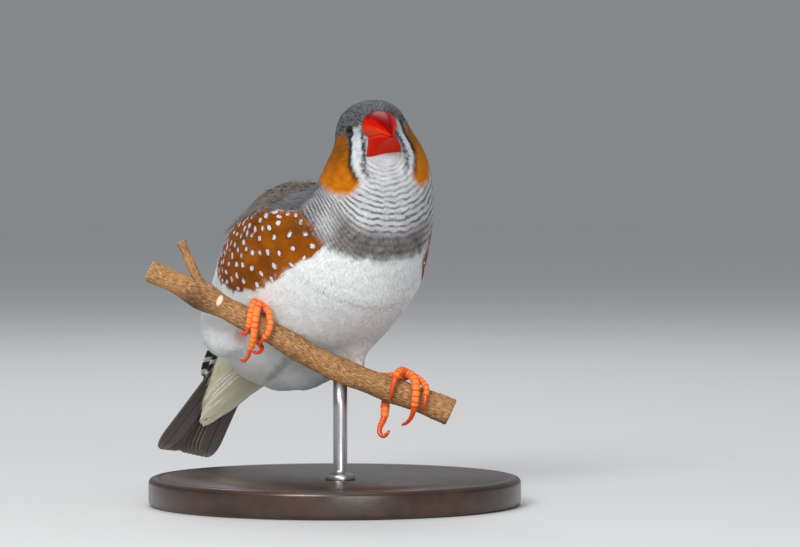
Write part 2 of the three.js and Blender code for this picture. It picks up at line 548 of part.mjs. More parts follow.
const TOE_SIDES = 6;
function toeSolid({ path, radius }) {
  const joints = path.length - 1;
  return tube(path.map((p) => offBranch(p, radius)),
    (t) => radius * (lerp(1.02, 0.82, t) + 0.1 * Math.cos(2 * Math.PI * t * joints)), 2 * joints + 4, TOE_SIDES);
}
function clawSolid({ claw, radius }) {
  return tube(claw.map((p) => offBranch(p, radius * 0.6)), (t) => radius * lerp(0.74, 0.38, t), 7, 6);
}
const padSolid = ({ pad }) => {
  const ball = new THREE.SphereGeometry(1.15, 12, 8).scale(1.25, 0.85, 1);
  ball.applyMatrix4(new THREE.Matrix4().makeBasis(PERCH.left, PERCH.up, PERCH.front));
  return fromGeometry(ball).translate(...offBranch(pad, 0.95).toArray());
};
const shankSolid = (foot) => tube(foot.shank.map((p) => offBranch(p, 0.8)), (t) => lerp(0.95, 0.75, Math.sin(Math.PI * t)), 10, 9);

// Thighs: short cuffs of feather where each shank leaves the belly
const THIGHS = {
  right: { path: [[-21.7, -1, -20.6], [-22.9, -5.4, -16.2], [-20.8, -6, -11.6]], from: 7.2, to: 2.2 },
  left: { path: [[-2, 8, -15], [1, 3, -12], [4.6, 0, -10.6]], from: 5, to: 2 },
};
const thighSolid = ({ path, from, to }) => tube(path.map((p) => onPerch(...p)), (t) => lerp(from, to, t ** 1.6), 8, 14);

// Putting the pieces together: each is cut back by the gap from what it meets
const solids = {};
const bodyWhole = bodySolid(0);
const bodyRoom = bodySolid(GAP);
const branchRoom = branchSolid(GAP);
const cuts = slab(COLLAR, 0).add(slab(THROAT, 0));
const parts = bodyWhole.subtract(cuts).decompose();
const centreUp = (solid) => {
  const box = solid.boundingBox();
  return (box.min[2] + box.max[2]) / 2;
};
const [torsoWhole, neckWhole, headWhole] = parts.filter((p) => p.volume() > 5).sort((a, b) => centreUp(a) - centreUp(b));

const wings = { right: wingSolid(-1), left: wingSolid(1) };
const pockets = wingPocket(-1).add(wingPocket(1));
const tailSpace = tailRoom();

const toeRoom = (toe) => tube(toe.path.map((p) => offBranch(p, toe.radius)), () => toe.radius * 1.15 + GAP, 9, TOE_SIDES);
const footSolid = (foot) => largest(join([padSolid(foot), ...Object.values(foot.toes).map(toeSolid)]));
const padRoom = ({ pad }) => fromGeometry(new THREE.SphereGeometry(1.5 + GAP, 12, 8)).translate(...offBranch(pad, 0.95).toArray());

const COLOURS = {
  grey: [0x8b8d92, 0.85], white: [0xe6e6e0, 0.85], brown: [0x6d6259, 0.8], tail: [0x3a332f, 0.8], red: [0xb4200c, 0.4],
  orange: [0xd9691f, 0.55], eye: [0x140d0a, 0.1], bark: [0x7a5430, 0.9], wood: [0x3a2417, 0.5], steel: [0x8d8f92, 0.3],
};
const root = new THREE.Group();
function addNode(name, solid, colour) {
  const mesh = solid.getMesh();
  const points = new Float32Array(mesh.numVert * 3);
  for (let i = 0; i < mesh.numVert; i++) {
    points.set(mesh.vertProperties.subarray(i * mesh.numProp, i * mesh.numProp + 3), i * 3);
  }
  const geometry = new THREE.BufferGeometry();
  geometry.setAttribute("position", new THREE.BufferAttribute(points, 3));
  geometry.setIndex(new THREE.BufferAttribute(new Uint32Array(mesh.triVerts), 1));
  geometry.computeVertexNormals();
  const [hex, roughness] = COLOURS[colour];
  const node = new THREE.Mesh(geometry, new THREE.MeshStandardMaterial({
    color: hex, roughness, metalness: colour === "steel" ? 0.9 : 0,
  }));
  node.name = name;
  root.add(node);
}

const eyeRooms = eyeBall(-1, EYE.radius + GAP).add(eyeBall(1, EYE.radius + GAP));
const upper = billUpper().subtract(nostril(-1)).subtract(nostril(1));
const lower = largest(billLower().subtract(billUpper().translate(0, 0, -GAP)));
addNode("head", largest(headWhole.add(lids(-1)).add(lids(1)).subtract(eyeRooms).subtract(pockets)), "grey");
addNode("bill_upper", largest(upper.subtract(bodyRoom)), "red");
addNode("bill_lower", largest(lower.subtract(bodyRoom)), "red");
for (const [name, side] of [["eye_right", -1], ["eye_left", 1]]) addNode(name, eyeBall(side, EYE.radius), "eye");
addNode("neck", neckWhole.subtract(pockets), "grey");

const shankRooms = join(Object.values(FEET).map((foot) => {
  const path = foot.shank.map((p) => offBranch(p, 0.8));
  path.unshift(path[0].clone().lerp(path[1], -0.1));
  return tube(path, () => 1 + GAP, 11, 9);
}));
const footRoom = (foot) => join([padRoom(foot), ...Object.values(foot.toes).map(toeRoom)]);
const footRooms = { right: footRoom(FEET.right), left: footRoom(FEET.left) };
const torso = largest(torsoWhole.subtract(pockets).subtract(branchRoom).subtract(shankRooms).subtract(footRooms.right)
  .subtract(tailSpace));
addNode("torso", torso, "white");
for (const side of ["right", "left"]) {
  const thigh = thighSolid(THIGHS[side]).subtract(bodyRoom).subtract(shankRooms).subtract(branchRoom);
  addNode("thigh_" + side, largest(thigh), "white");
  addNode("wing_" + side, wings[side], "brown");
}
addNode("tail", largest(tailSolid()), "tail");
const coverRoom = bodyRoom.add(tailSpace).add(pockets);
addNode("tail_coverts_under", largest(underCoverts().subtract(coverRoom)), "white");
addNode("tail_coverts_upper", largest(upperCoverts().subtract(coverRoom)), "grey");
for (const [side, foot] of Object.entries(FEET)) {
  addNode("shank_" + side, largest(shankSolid(foot).subtract(footRooms[side]).subtract(branchRoom)), "orange");
  addNode("foot_" + side, footSolid(foot), "orange");
  for (const [name, toe] of Object.entries(foot.toes)) addNode(`claw_${side}_${name}`, clawSolid(toe), "orange");
}
addNode("perch", perchSolid(), "bark");
addNode("stand_base", standBase(), "wood");
addNode("stand_rod", standRod(), "steel");

export default root;
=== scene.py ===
"""A life-size zebra finch on a cut branch over a round display base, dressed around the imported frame."""

import functools
import math

import bpy
import numpy as np
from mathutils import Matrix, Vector, kdtree


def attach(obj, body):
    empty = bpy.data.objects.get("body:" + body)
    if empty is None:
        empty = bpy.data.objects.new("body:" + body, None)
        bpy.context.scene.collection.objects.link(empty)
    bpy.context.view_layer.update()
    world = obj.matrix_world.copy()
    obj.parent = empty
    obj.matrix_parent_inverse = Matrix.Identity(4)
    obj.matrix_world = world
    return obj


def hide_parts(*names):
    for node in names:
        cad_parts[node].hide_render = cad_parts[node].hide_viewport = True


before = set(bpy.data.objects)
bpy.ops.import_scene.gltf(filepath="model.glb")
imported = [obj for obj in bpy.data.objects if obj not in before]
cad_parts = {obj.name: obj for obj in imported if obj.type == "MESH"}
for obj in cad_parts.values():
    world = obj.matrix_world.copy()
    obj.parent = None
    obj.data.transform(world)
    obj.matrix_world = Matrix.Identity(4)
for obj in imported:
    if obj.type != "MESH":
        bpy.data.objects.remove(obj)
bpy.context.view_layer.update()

bl_info = {
    "name": "Zebra Finch Display",
    "version": (1, 0, 0),
    "blender": (4, 5, 0),
    "location": "View3D > Sidebar > Finch",
    "description": "Dresses the packed finch, its perch and its stand in feathers, horn, scales, bark, wood and steel",
    "category": "Object",
}

MM = 0.001
TAU = 2 * math.pi


# Numbers and frames, in millimetres

def unit(v):
    return v / np.maximum(np.linalg.norm(v, axis=-1, keepdims=True), 1e-9)


def lerp(a, b, t):
    return a + (b - a) * t


def ease(x, low, high):
    t = np.clip((x - low) / (high - low), 0, 1)
    return t * t * (3 - 2 * t)


def linear(red, green, blue):
    """A colour given as 0 to 255 on screen, as the shader wants it."""
    c = np.array([red, green, blue]) / 255
    return np.where(c <= 0.04045, c / 12.92, ((c + 0.055) / 1.055) ** 2.4)


def turns(count):
    """Angles at equal steps once round."""
    return np.linspace(0, TAU, count, endpoint=False)


def turning(axis, degrees):
    c, s = math.cos(math.radians(degrees)), math.sin(math.radians(degrees))
    i, j = [(1, 2), (2, 0), (0, 1)]["xyz".index(axis)]
    m = np.eye(3)
    m[i, i] = m[j, j] = c
    m[j, i], m[i, j] = s, -s
    return m


class Axes:
    """An origin with three unit axes: the bird's left, its front and up."""

    def __init__(self, origin, left, front, up):
        self.origin, self.left, self.front, self.up = (np.asarray(v, float) for v in (origin, left, front, up))

    def at(self, left, front, up):
        left, front, up = np.broadcast_arrays(left, front, up)
        return self.origin + left[..., None] * self.left + front[..., None] * self.front + up[..., None] * self.up

    def local(self, points):
        d = points - self.origin
        return d @ self.left, d @ self.front, d @ self.up


BODY_PITCH, BODY_LEAN = math.radians(46.5), math.radians(11)
TORSO_UP = np.array([math.sin(BODY_PITCH) * math.sin(BODY_LEAN), -math.cos(BODY_PITCH),
                     math.sin(BODY_PITCH) * math.cos(BODY_LEAN)])
TORSO_LEFT = np.array([math.cos(BODY_LEAN), 0, -math.sin(BODY_LEAN)])
TORSO = Axes((0.5, 7.6, 51.9), TORSO_LEFT, np.cross(TORSO_LEFT, TORSO_UP), TORSO_UP)
HEAD_TURN = turning("z", -18) @ turning("x", -2) @ turning("y", -10.5)
HEAD = Axes((4.8, -9, 80.8), HEAD_TURN @ (1, 0, 0), HEAD_TURN @ (0, -1, 0), HEAD_TURN @ (0, 0, 1))
FACE_TURN = math.radians(5)
FACE = Axes(HEAD.origin, HEAD_TURN @ (math.cos(FACE_TURN), math.sin(FACE_TURN), 0),
            HEAD_TURN @ (math.sin(FACE_TURN), -math.cos(FACE_TURN), 0), HEAD.up)
NECK = Axes((TORSO.at(0, 0.8, 12) + HEAD.at(-1.8, -3.4, -10)) / 2, unit(TORSO.left + HEAD.left),
            unit(TORSO.front + HEAD.front), unit(TORSO.up + HEAD.up))
PERCH_TURN, PERCH_SLOPE = math.radians(27), math.radians(25.3)
ACROSS = np.array([math.cos(PERCH_TURN), -math.sin(PERCH_TURN), 0])
PERCH_FRONT = np.array([-math.sin(PERCH_TURN), -math.cos(PERCH_TURN), 0])
PERCH = Axes(PERCH_FRONT * 8 + (0, 0, 32.1), ACROSS * math.cos(PERCH_SLOPE) - (0, 0, math.sin(PERCH_SLOPE)),
             PERCH_FRONT, ACROSS * math.sin(PERCH_SLOPE) + (0, 0, math.cos(PERCH_SLOPE)))


def on_perch(run, up, front):
    return PERCH.at(run, front, up)


def through(values, s):
    """A smooth curve through values that stand at whole steps."""
    values, s = np.asarray(values, float), np.asarray(s, float)
    last = len(values) - 1
    i = np.clip(np.floor(s).astype(int), 0, last - 1)
    shape = s.shape + (1,) * (values.ndim - 1)
    t = (s - i).reshape(shape)
    p1, p2 = values[i], values[i + 1]
    p0 = np.where((i == 0).reshape(shape), 2 * p1 - p2, values[np.maximum(i - 1, 0)])
    p3 = np.where((i + 1 == last).reshape(shape), 2 * p2 - p1, values[np.minimum(i + 2, last)])
    return p1 + 0.5 * t * (p2 - p0 + t * (2 * p0 - 5 * p1 + 4 * p2 - p3 + t * (3 * (p1 - p2) + p3 - p0)))


# The body's ovals from vent to crown: frame, along, forward, half width, reach to front and back, point, aside
STATIONS = [
    (TORSO, -36, -2, 1, 1, 2, 2, 0), (TORSO, -35, -2, 4, 4.4, 5, 2, 0), (TORSO, -32, -1.6, 8.2, 8.4, 8, 2, 0),
    (TORSO, -26.5, -1, 12.8, 13, 11.2, 2, 0), (TORSO, -19.5, -0.5, 16.9, 16.6, 14.4, 2, -0.3),
    (TORSO, -11, 0, 19.4, 18.8, 17, 2, -0.4), (TORSO, -2, 0.4, 20.7, 20, 18, 2, -0.4),
    (TORSO, 7, 0.8, 20.2, 20.3, 15.8, 2, -0.1), (TORSO, 12, 0.8, 19.1, 19.7, 13, 2, 0),
    (NECK, 0, 0, 16, 16.7, 11.4, 2, 0.3), (HEAD, -10, -3.4, 12.6, 11.4, 11.8, 2, -1.9),
    (HEAD, -5.5, -3, 10.3, 9.3, 10.8, 1.8, -0.5), (HEAD, -2, -3, 8.4, 9.4, 10.2, 1.6, 0),
    (HEAD, 0.8, -3, 7.5, 9.6, 9.4, 1.6, 0), (HEAD, 3, -3, 6.5, 9.2, 8, 1.6, 0), (HEAD, 4.7, -3, 4.9, 6.6, 6, 1.8, 0),
    (HEAD, 5.7, -3, 2.8, 3.6, 3.6, 2, 0), (HEAD, 6.05, -3, 0.8, 1, 1, 2, 0),
]
LAST = len(STATIONS) - 1
MIDDLES = np.array([st[0].at(st[7], st[2], st[1]) for st in STATIONS])
LEFTS = np.array([st[0].left for st in STATIONS])
FRONTS = np.array([st[0].front for st in STATIONS])


def size_at(column, s):
    return through([st[column] for st in STATIONS], s)


def body_surface(s, angle):
    """A point on the body: angle 0 is the bird's left, a quarter turn its front."""
    middle, left, front = through(MIDDLES, s), unit(through(LEFTS, s)), unit(through(FRONTS, s))
    half, reach_front, reach_back = (np.maximum(size_at(i, s), 0.3) for i in (3, 4, 5))
    c, f = np.cos(angle), np.sin(angle)
    power = 2 / np.where(f > 0, size_at(6, s), 2)
    across = half * np.sign(c) * np.abs(c) ** power
    along = np.where(f > 0, reach_front, reach_back) * np.sign(f) * np.abs(f) ** power
    return middle + across[..., None] * left + along[..., None] * front


def wobble(points, scale, seed):
    """Smooth noise from -1 to 1: a sum of waves that run in seeded directions."""
    rng = np.random.default_rng(seed)
    total = np.zeros(points.shape[:-1])
    for k in range(5):
        way = unit(rng.normal(size=3)) * TAU / (scale * (0.6 + 0.25 * k))
        total += np.sin(points @ way + rng.uniform(0, TAU))
    return total / 5 * 1.6


# Meshes

def mesh_of(name, points, *faces):
    """A smooth mesh from points in millimetres and arrays of faces of equal count."""
    mesh = bpy.data.meshes.new(name)
    faces = [np.asarray(f, np.int32) for f in faces if len(f)]
    sizes = np.concatenate([np.full(len(f), f.shape[1]) for f in faces])
    corners = np.concatenate([f.ravel() for f in faces])
    mesh.vertices.add(len(points))
    mesh.vertices.foreach_set("co", (np.asarray(points) * MM).astype(np.float32).ravel())
    mesh.loops.add(len(corners))
    mesh.loops.foreach_set("vertex_index", corners)
    mesh.polygons.add(len(sizes))
    mesh.polygons.foreach_set("loop_start", np.concatenate([[0], np.cumsum(sizes)[:-1]]).astype(np.int32))
    mesh.update(calc_edges=True)
    mesh.polygons.foreach_set("use_smooth", np.ones(len(sizes), bool))
    return mesh


def put_number(mesh, name, values):
    mesh.attributes.new(name, "FLOAT", "POINT").data.foreach_set("value", np.asarray(values, np.float32).ravel())


def put_colour(mesh, name, colours):
    rgba = np.concatenate([colours, np.ones((len(colours), 1))], 1).astype(np.float32)
    mesh.color_attributes.new(name, "FLOAT_COLOR", "POINT").data.foreach_set("color", rgba.ravel())


def put_uv(mesh, name, uv):
    """A UV map from one pair for each point."""
    corner = np.zeros(len(mesh.loops), np.int32)
    mesh.loops.foreach_get("vertex_index", corner)
    mesh.uv_layers.new(name=name).data.foreach_set("uv", np.asarray(uv, np.float32)[corner].ravel())


def added(name, data):
    thing = bpy.data.objects.new(name, data)
    bpy.context.scene.collection.objects.link(thing)
    return thing


def settled(thing, name):
    """The mesh that a passing object's modifiers make. The object itself goes."""
    made = bpy.data.meshes.new_from_object(thing.evaluated_get(bpy.context.evaluated_depsgraph_get()))
    bpy.data.objects.remove(thing)
    made.name = name
    return made


def piece(name, mesh, material, slot, *nodes):
    """Shows a mesh as a piece of the object that stands for these frame nodes. Without a material it keeps its own."""
    thing = added(name, mesh)
    if material:
        mesh.materials.clear()
        mesh.materials.append(material)
    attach(thing, "root")
    if nodes:
        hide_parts(*nodes)


def loft(rings, closed):
    """Points and faces of a skin over rings (count, around, 3) that closes on itself or has a fan over each end."""
    count, around = rings.shape[:2]
    i, j = np.meshgrid(np.arange(count if closed else count - 1), np.arange(around), indexing="ij")
    k, n = (j + 1) % around, (i + 1) % count
    quads = np.stack([i * around + j, i * around + k, n * around + k, n * around + j], -1).reshape(-1, 4)
    points = rings.reshape(-1, 3)
    if closed:
        return points, quads, np.zeros((0, 3), int)
    a, b = np.arange(around), (np.arange(around) + 1) % around
    hub, end = count * around, (count - 1) * around
    tris = np.concatenate([np.stack([b, a, np.full(around, hub)], 1),
                           np.stack([end + a, end + b, np.full(around, hub + 1)], 1)])
    return np.concatenate([points, rings[[0, -1]].mean(1)]), quads, tris


class Bundle:
    """Closed shapes gathered into one mesh, with numbers for each point."""

    def __init__(self):
        self.points, self.quads, self.tris, self.extra, self.total = [], [], [], {}, 0

    def add(self, rings, closed=False, **numbers):
        points, quads, tris = loft(rings, closed)
        if signed_volume(points, quads, tris) < 0:
            quads, tris = quads[:, ::-1], tris[:, ::-1]
        self.points.append(points)
        self.quads.append(quads + self.total)
        self.tris.append(tris + self.total)
        for name, value in numbers.items():
            value = np.broadcast_to(value, rings.shape[:2])
            ends = [value[0].mean(), value[-1].mean()]
            self.extra.setdefault(name, []).append(np.concatenate([value.ravel(), ends]))
        self.total += len(points)

    def mesh(self, name):
        mesh = mesh_of(name, np.concatenate(self.points), np.concatenate(self.quads), np.concatenate(self.tris))
        for key, values in self.extra.items():
            put_number(mesh, key, np.concatenate(values))
        return mesh


def signed_volume(points, quads, tris):
    every = np.concatenate([quads[:, [0, 1, 2]], quads[:, [0, 2, 3]], tris])
    a, b, c = (points[every[:, i]] for i in range(3))
    return np.einsum("ij,ij->i", a, np.cross(b, c)).sum()


def curve_points(path, count):
    """Points at equal steps along a smooth curve through a path."""
    fine = through(np.asarray(path, float), np.linspace(0, len(path) - 1, 40 * len(path)))
    length = np.concatenate([[0], np.cumsum(np.linalg.norm(np.diff(fine, axis=0), axis=1))])
    steps = np.linspace(0, length[-1], count)
    return np.stack([np.interp(steps, length, fine[:, i]) for i in range(3)], 1), steps


def carried_frame(line, up):
    """Side and up directions carried along a line without twist."""
    run = unit(np.gradient(line, axis=0))
    ups = [unit(up - run[0] * (up @ run[0]))]
    for r in run[1:]:
        ups.append(unit(ups[-1] - r * (ups[-1] @ r)))
    ups = np.array(ups)
    return run, np.cross(ups, run), ups


def tube_rings(line, up, radius, around):
    """Rings of a tube: radius(t, angle) with angle 0 at the side and a quarter turn at the top."""
    _, side, ups = carried_frame(line, np.asarray(up, float))
    t = np.linspace(0, 1, len(line))[:, None]
    angle = turns(around)[None, :]
    r = np.broadcast_to(radius(t, angle), (len(line), around))[..., None]
    return line[:, None] + r * (np.cos(angle)[..., None] * side[:, None] + np.sin(angle)[..., None] * ups[:, None])


# Material helpers

class Shader:
    """A material, or a node group, being wired."""

    def __init__(self, tree):
        self.tree, self.links = tree, tree.links

    def node(self, kind, **given):
        """A node with its settings and inputs. An input is given by name, or by number as i0, i1 and so on."""
        made = self.tree.nodes.new(kind if "Node" in kind else "ShaderNode" + kind)
        for key, value in given.pop("set", {}).items():
            setattr(made, key, value)
        for key, value in given.items():
            number = key[0] == "i" and key[1:].isdigit()
            self.feed(made.inputs[int(key[1:]) if number else key.replace("_", " ")], value)
        return made

    def feed(self, socket, value):
        if isinstance(value, bpy.types.NodeSocket):
            self.links.new(value, socket)
        elif socket.type == "RGBA" and len(value) == 3:
            socket.default_value = (*value, 1)
        else:
            socket.default_value = value

    def math(self, operation, a, b=0.0, c=0.0):
        return self.node("Math", set={"operation": operation}, i0=a, i1=b, i2=c).outputs[0]

    def times(self, a, b):
        return self.math("MULTIPLY", a, b)

    def plus(self, a, b):
        return self.math("ADD", a, b)

    def minus(self, a, b):
        return self.math("SUBTRACT", a, b)

    def scaled(self, value, factor, offset):
        return self.math("MULTIPLY_ADD", value, factor, offset)

    def mix(self, factor, a, b):
        return self.node("Mix", set={"data_type": "RGBA"}, i0=factor, i6=a, i7=b).outputs[2]

    def ramp(self, value, low, high, start=0.0, end=1.0):
        made = self.node("MapRange", set={"interpolation_type": "SMOOTHSTEP"}, Value=value, From_Min=low, From_Max=high,
                         To_Min=start, To_Max=end)
        return made.outputs[0]

    def number(self, name):
        """A number that the mesh carries at each point."""
        return self.node("Attribute", set={"attribute_name": name}).outputs["Fac"]

    def place(self, scale=(1, 1, 1)):
        coords = self.node("TexCoord").outputs["Object"]
        return self.node("Mapping", Vector=coords, Scale=scale).outputs[0]

    def noise(self, scale, detail=4.0, vector=None, roughness=0.55):
        return self.node("TexNoise", Scale=scale, Detail=detail, Roughness=roughness,
                         Vector=vector or self.place()).outputs["Fac"]

    def bright(self, colour, value):
        return self.node("HueSaturation", Value=value, Color=colour).outputs[0]

    def finish(self, skin, colour, height, distance, strength):
        """Feeds a colour and a fine relief to a Principled shader."""
        bump = self.node("Bump", Height=height, Distance=distance, Strength=strength)
        self.feed(skin.inputs["Base Color"], colour)
        self.feed(skin.inputs["Normal"], bump.outputs[0])

    def mottled(self, colour, scale, amount):
        """A colour with soft blotches of the shared group, and the blotches' height."""
        made = self.node("Group", set={"node_tree": mottle_group()}, Color=colour, Scale=scale, Amount=amount)
        return made.outputs["Color"], made.outputs["Height"]


def material(name, roughness=0.6, **sockets):
    """A new material with its Principled shader. Constant values are set on the shader's own sockets."""
    made = bpy.data.materials.new(name)
    made.use_nodes = True
    made.node_tree.nodes.clear()
    sh = Shader(made.node_tree)
    skin = sh.node("BsdfPrincipled", Roughness=roughness, **sockets)
    sh.node("OutputMaterial", Surface=skin.outputs[0])
    return made, sh, skin


def mottle_group():
    """Two sizes of soft blotches that lighten and darken a colour."""
    if "Mottle" in bpy.data.node_groups:
        return bpy.data.node_groups["Mottle"]
    tree = bpy.data.node_groups.new("Mottle", "ShaderNodeTree")
    for label, kind, default in (("Color", "Color", (0.5, 0.5, 0.5, 1)), ("Scale", "Float", 400.0),
                                 ("Amount", "Float", 0.2)):
        socket = tree.interface.new_socket(label, in_out="INPUT", socket_type="NodeSocket" + kind)
        socket.default_value = default
    tree.interface.new_socket("Color", in_out="OUTPUT", socket_type="NodeSocketColor")
    tree.interface.new_socket("Height", in_out="OUTPUT", socket_type="NodeSocketFloat")
    sh = Shader(tree)
    given, out = sh.node("NodeGroupInput").outputs, sh.node("NodeGroupOutput").inputs
    coords = sh.node("TexCoord").outputs["Object"]
    fine = sh.node("TexNoise", Vector=coords, Scale=given["Scale"], Detail=3.0).outputs["Fac"]
    wide = sh.node("TexNoise", Vector=coords, Scale=sh.times(given["Scale"], 0.17)).outputs["Fac"]
    both = sh.plus(sh.times(fine, 0.6), sh.times(wide, 0.4))
    swing = sh.times(sh.minus(both, 0.5), sh.times(given["Amount"], 2.0))
    sh.feed(out["Color"], sh.bright(given["Color"], sh.plus(1.0, swing)))
    sh.feed(out["Height"], both)
    return tree


# The coat: tufts over a hide

# Steps of a sequence that fills a square evenly
EVEN_STEPS = 0.7548776662, 0.5698402910


class Hide:
    """A grid over a surface: rows run from one end to the other and columns once round it."""

    def __init__(self, points, flow):
        self.points, self.shape = points, points.shape[:2]
        along = np.gradient(points, axis=0)
        wide = np.concatenate([points[:, -2:-1], points, points[:, 1:2]], 1)
        around = (wide[:, 2:] - wide[:, :-2]) / 2
        normals = np.cross(around, along)
        normals[0], normals[-1] = normals[1], normals[-2]
        self.normals = unit(normals)
        middle = points.mean(1, keepdims=True)
        if ((points - middle) * self.normals).sum() < 0:
            self.normals = -self.normals
        lie = flow(points, self.normals)
        self.lie = unit(lie - (lie * self.normals).sum(-1, keepdims=True) * self.normals)
        aa, ab, bb = (along * along).sum(-1), (along * around).sum(-1), (around * around).sum(-1)
        da, db = (along * self.lie).sum(-1), (around * self.lie).sum(-1)
        det = np.maximum(aa * bb - ab * ab, 1e-6)
        self.step = np.clip(np.stack([(da * bb - db * ab) / det, (db * aa - da * ab) / det], -1), -12, 12)
        bend = self.pick(self.normals, *self.shifted(0.4)) - self.normals
        self.curve = np.clip((bend * self.lie).sum(-1) / 0.4, -0.02, 0.16)
        self.area = np.sqrt(np.maximum(aa * bb - ab * ab, 0))

    def grid(self):
        return np.meshgrid(*(np.arange(count, dtype=float) for count in self.shape), indexing="ij")

    def shifted(self, distance):
        r, c = self.grid()
        return r + self.step[..., 0] * distance, c + self.step[..., 1] * distance

    def pick(self, values, r, c):
        """Values at places between the grid's points."""
        rows, cols = self.shape
        r, c = np.clip(r, 0, rows - 1.001), np.mod(c, cols - 1)
        i, j = r.astype(int), np.minimum(c.astype(int), cols - 2)
        a, b = r - i, c - j
        if values.ndim > 2:
            a, b = a[..., None], b[..., None]
        return ((values[i, j] * (1 - a) + values[i + 1, j] * a) * (1 - b)
                + (values[i, j + 1] * (1 - a) + values[i + 1, j + 1] * a) * b)

    def scatter(self, density, shift=0.0):
        """Even places over the surface, density being the count for each square millimetre."""
        weight = self.area * density
        weight[:, -1] = 0
        count = int(weight.sum())
        by_row = np.cumsum(weight.sum(1))
        k = np.arange(count)
        along, around = (0.5 + shift + k * EVEN_STEPS[0]) % 1, (0.3 + shift + k * EVEN_STEPS[1]) % 1
        place = along * by_row[-1]
        i = np.minimum(np.searchsorted(by_row, place, side="right"), len(by_row) - 1)
        before = np.where(i > 0, by_row[i - 1], 0)
        r = i + (place - before) / np.maximum(weight.sum(1)[i], 1e-9) - 0.5
        sums = np.cumsum(weight, 1)
        target = around * sums[i, -1]
        low, high = np.zeros(count, int), np.full(count, weight.shape[1] - 1)
        for _ in range(12):
            mid = (low + high) // 2
            right = sums[i, mid] < target
            low, high = np.where(right, np.minimum(mid + 1, high), low), np.where(right, high, mid)
        left = np.where(low > 0, sums[i, low - 1], 0)
        c = low + np.clip((target - left) / np.maximum(weight[i, low], 1e-9), 0, 1)
        return np.clip(r, 0, weight.shape[0] - 1.001), c


def nearest(places, queries):
    tree = kdtree.KDTree(len(places))
    for i, p in enumerate(places):
        tree.insert(p, i)
    tree.balance()
    return np.array([tree.find(q)[1] for q in queries])


# How wide a tuft is at its levels from root to tip, and how tufts fan out, stray and take the body's own shading
TUFT_LEVELS = np.array([0.0, 0.5, 1.0])
TUFT_SHAPE = np.array([0.8, 1.0, 0.0])
TUFT_FAN, TUFT_STRAY, TUFT_SOFT = 0.45, 0.07, 0.7


def tuft_faces(count):
    """Faces of closed three-sided tufts whose last level is a point."""
    levels = len(TUFT_LEVELS)
    tris = [(2, 1, 0)]
    for i in range(levels - 2):
        for j in range(3):
            a, b = 3 * i + j, 3 * i + (j + 1) % 3
            tris += [(a, b, b + 3), (a, b + 3, a + 3)]
    tip, ring = 3 * (levels - 1), 3 * (levels - 2)
    tris += [(ring + j, ring + (j + 1) % 3, tip) for j in range(3)]
    size = 3 * (levels - 1) + 1
    return (np.array(tris)[None] + (np.arange(count) * size)[:, None, None]).reshape(-1, 3)


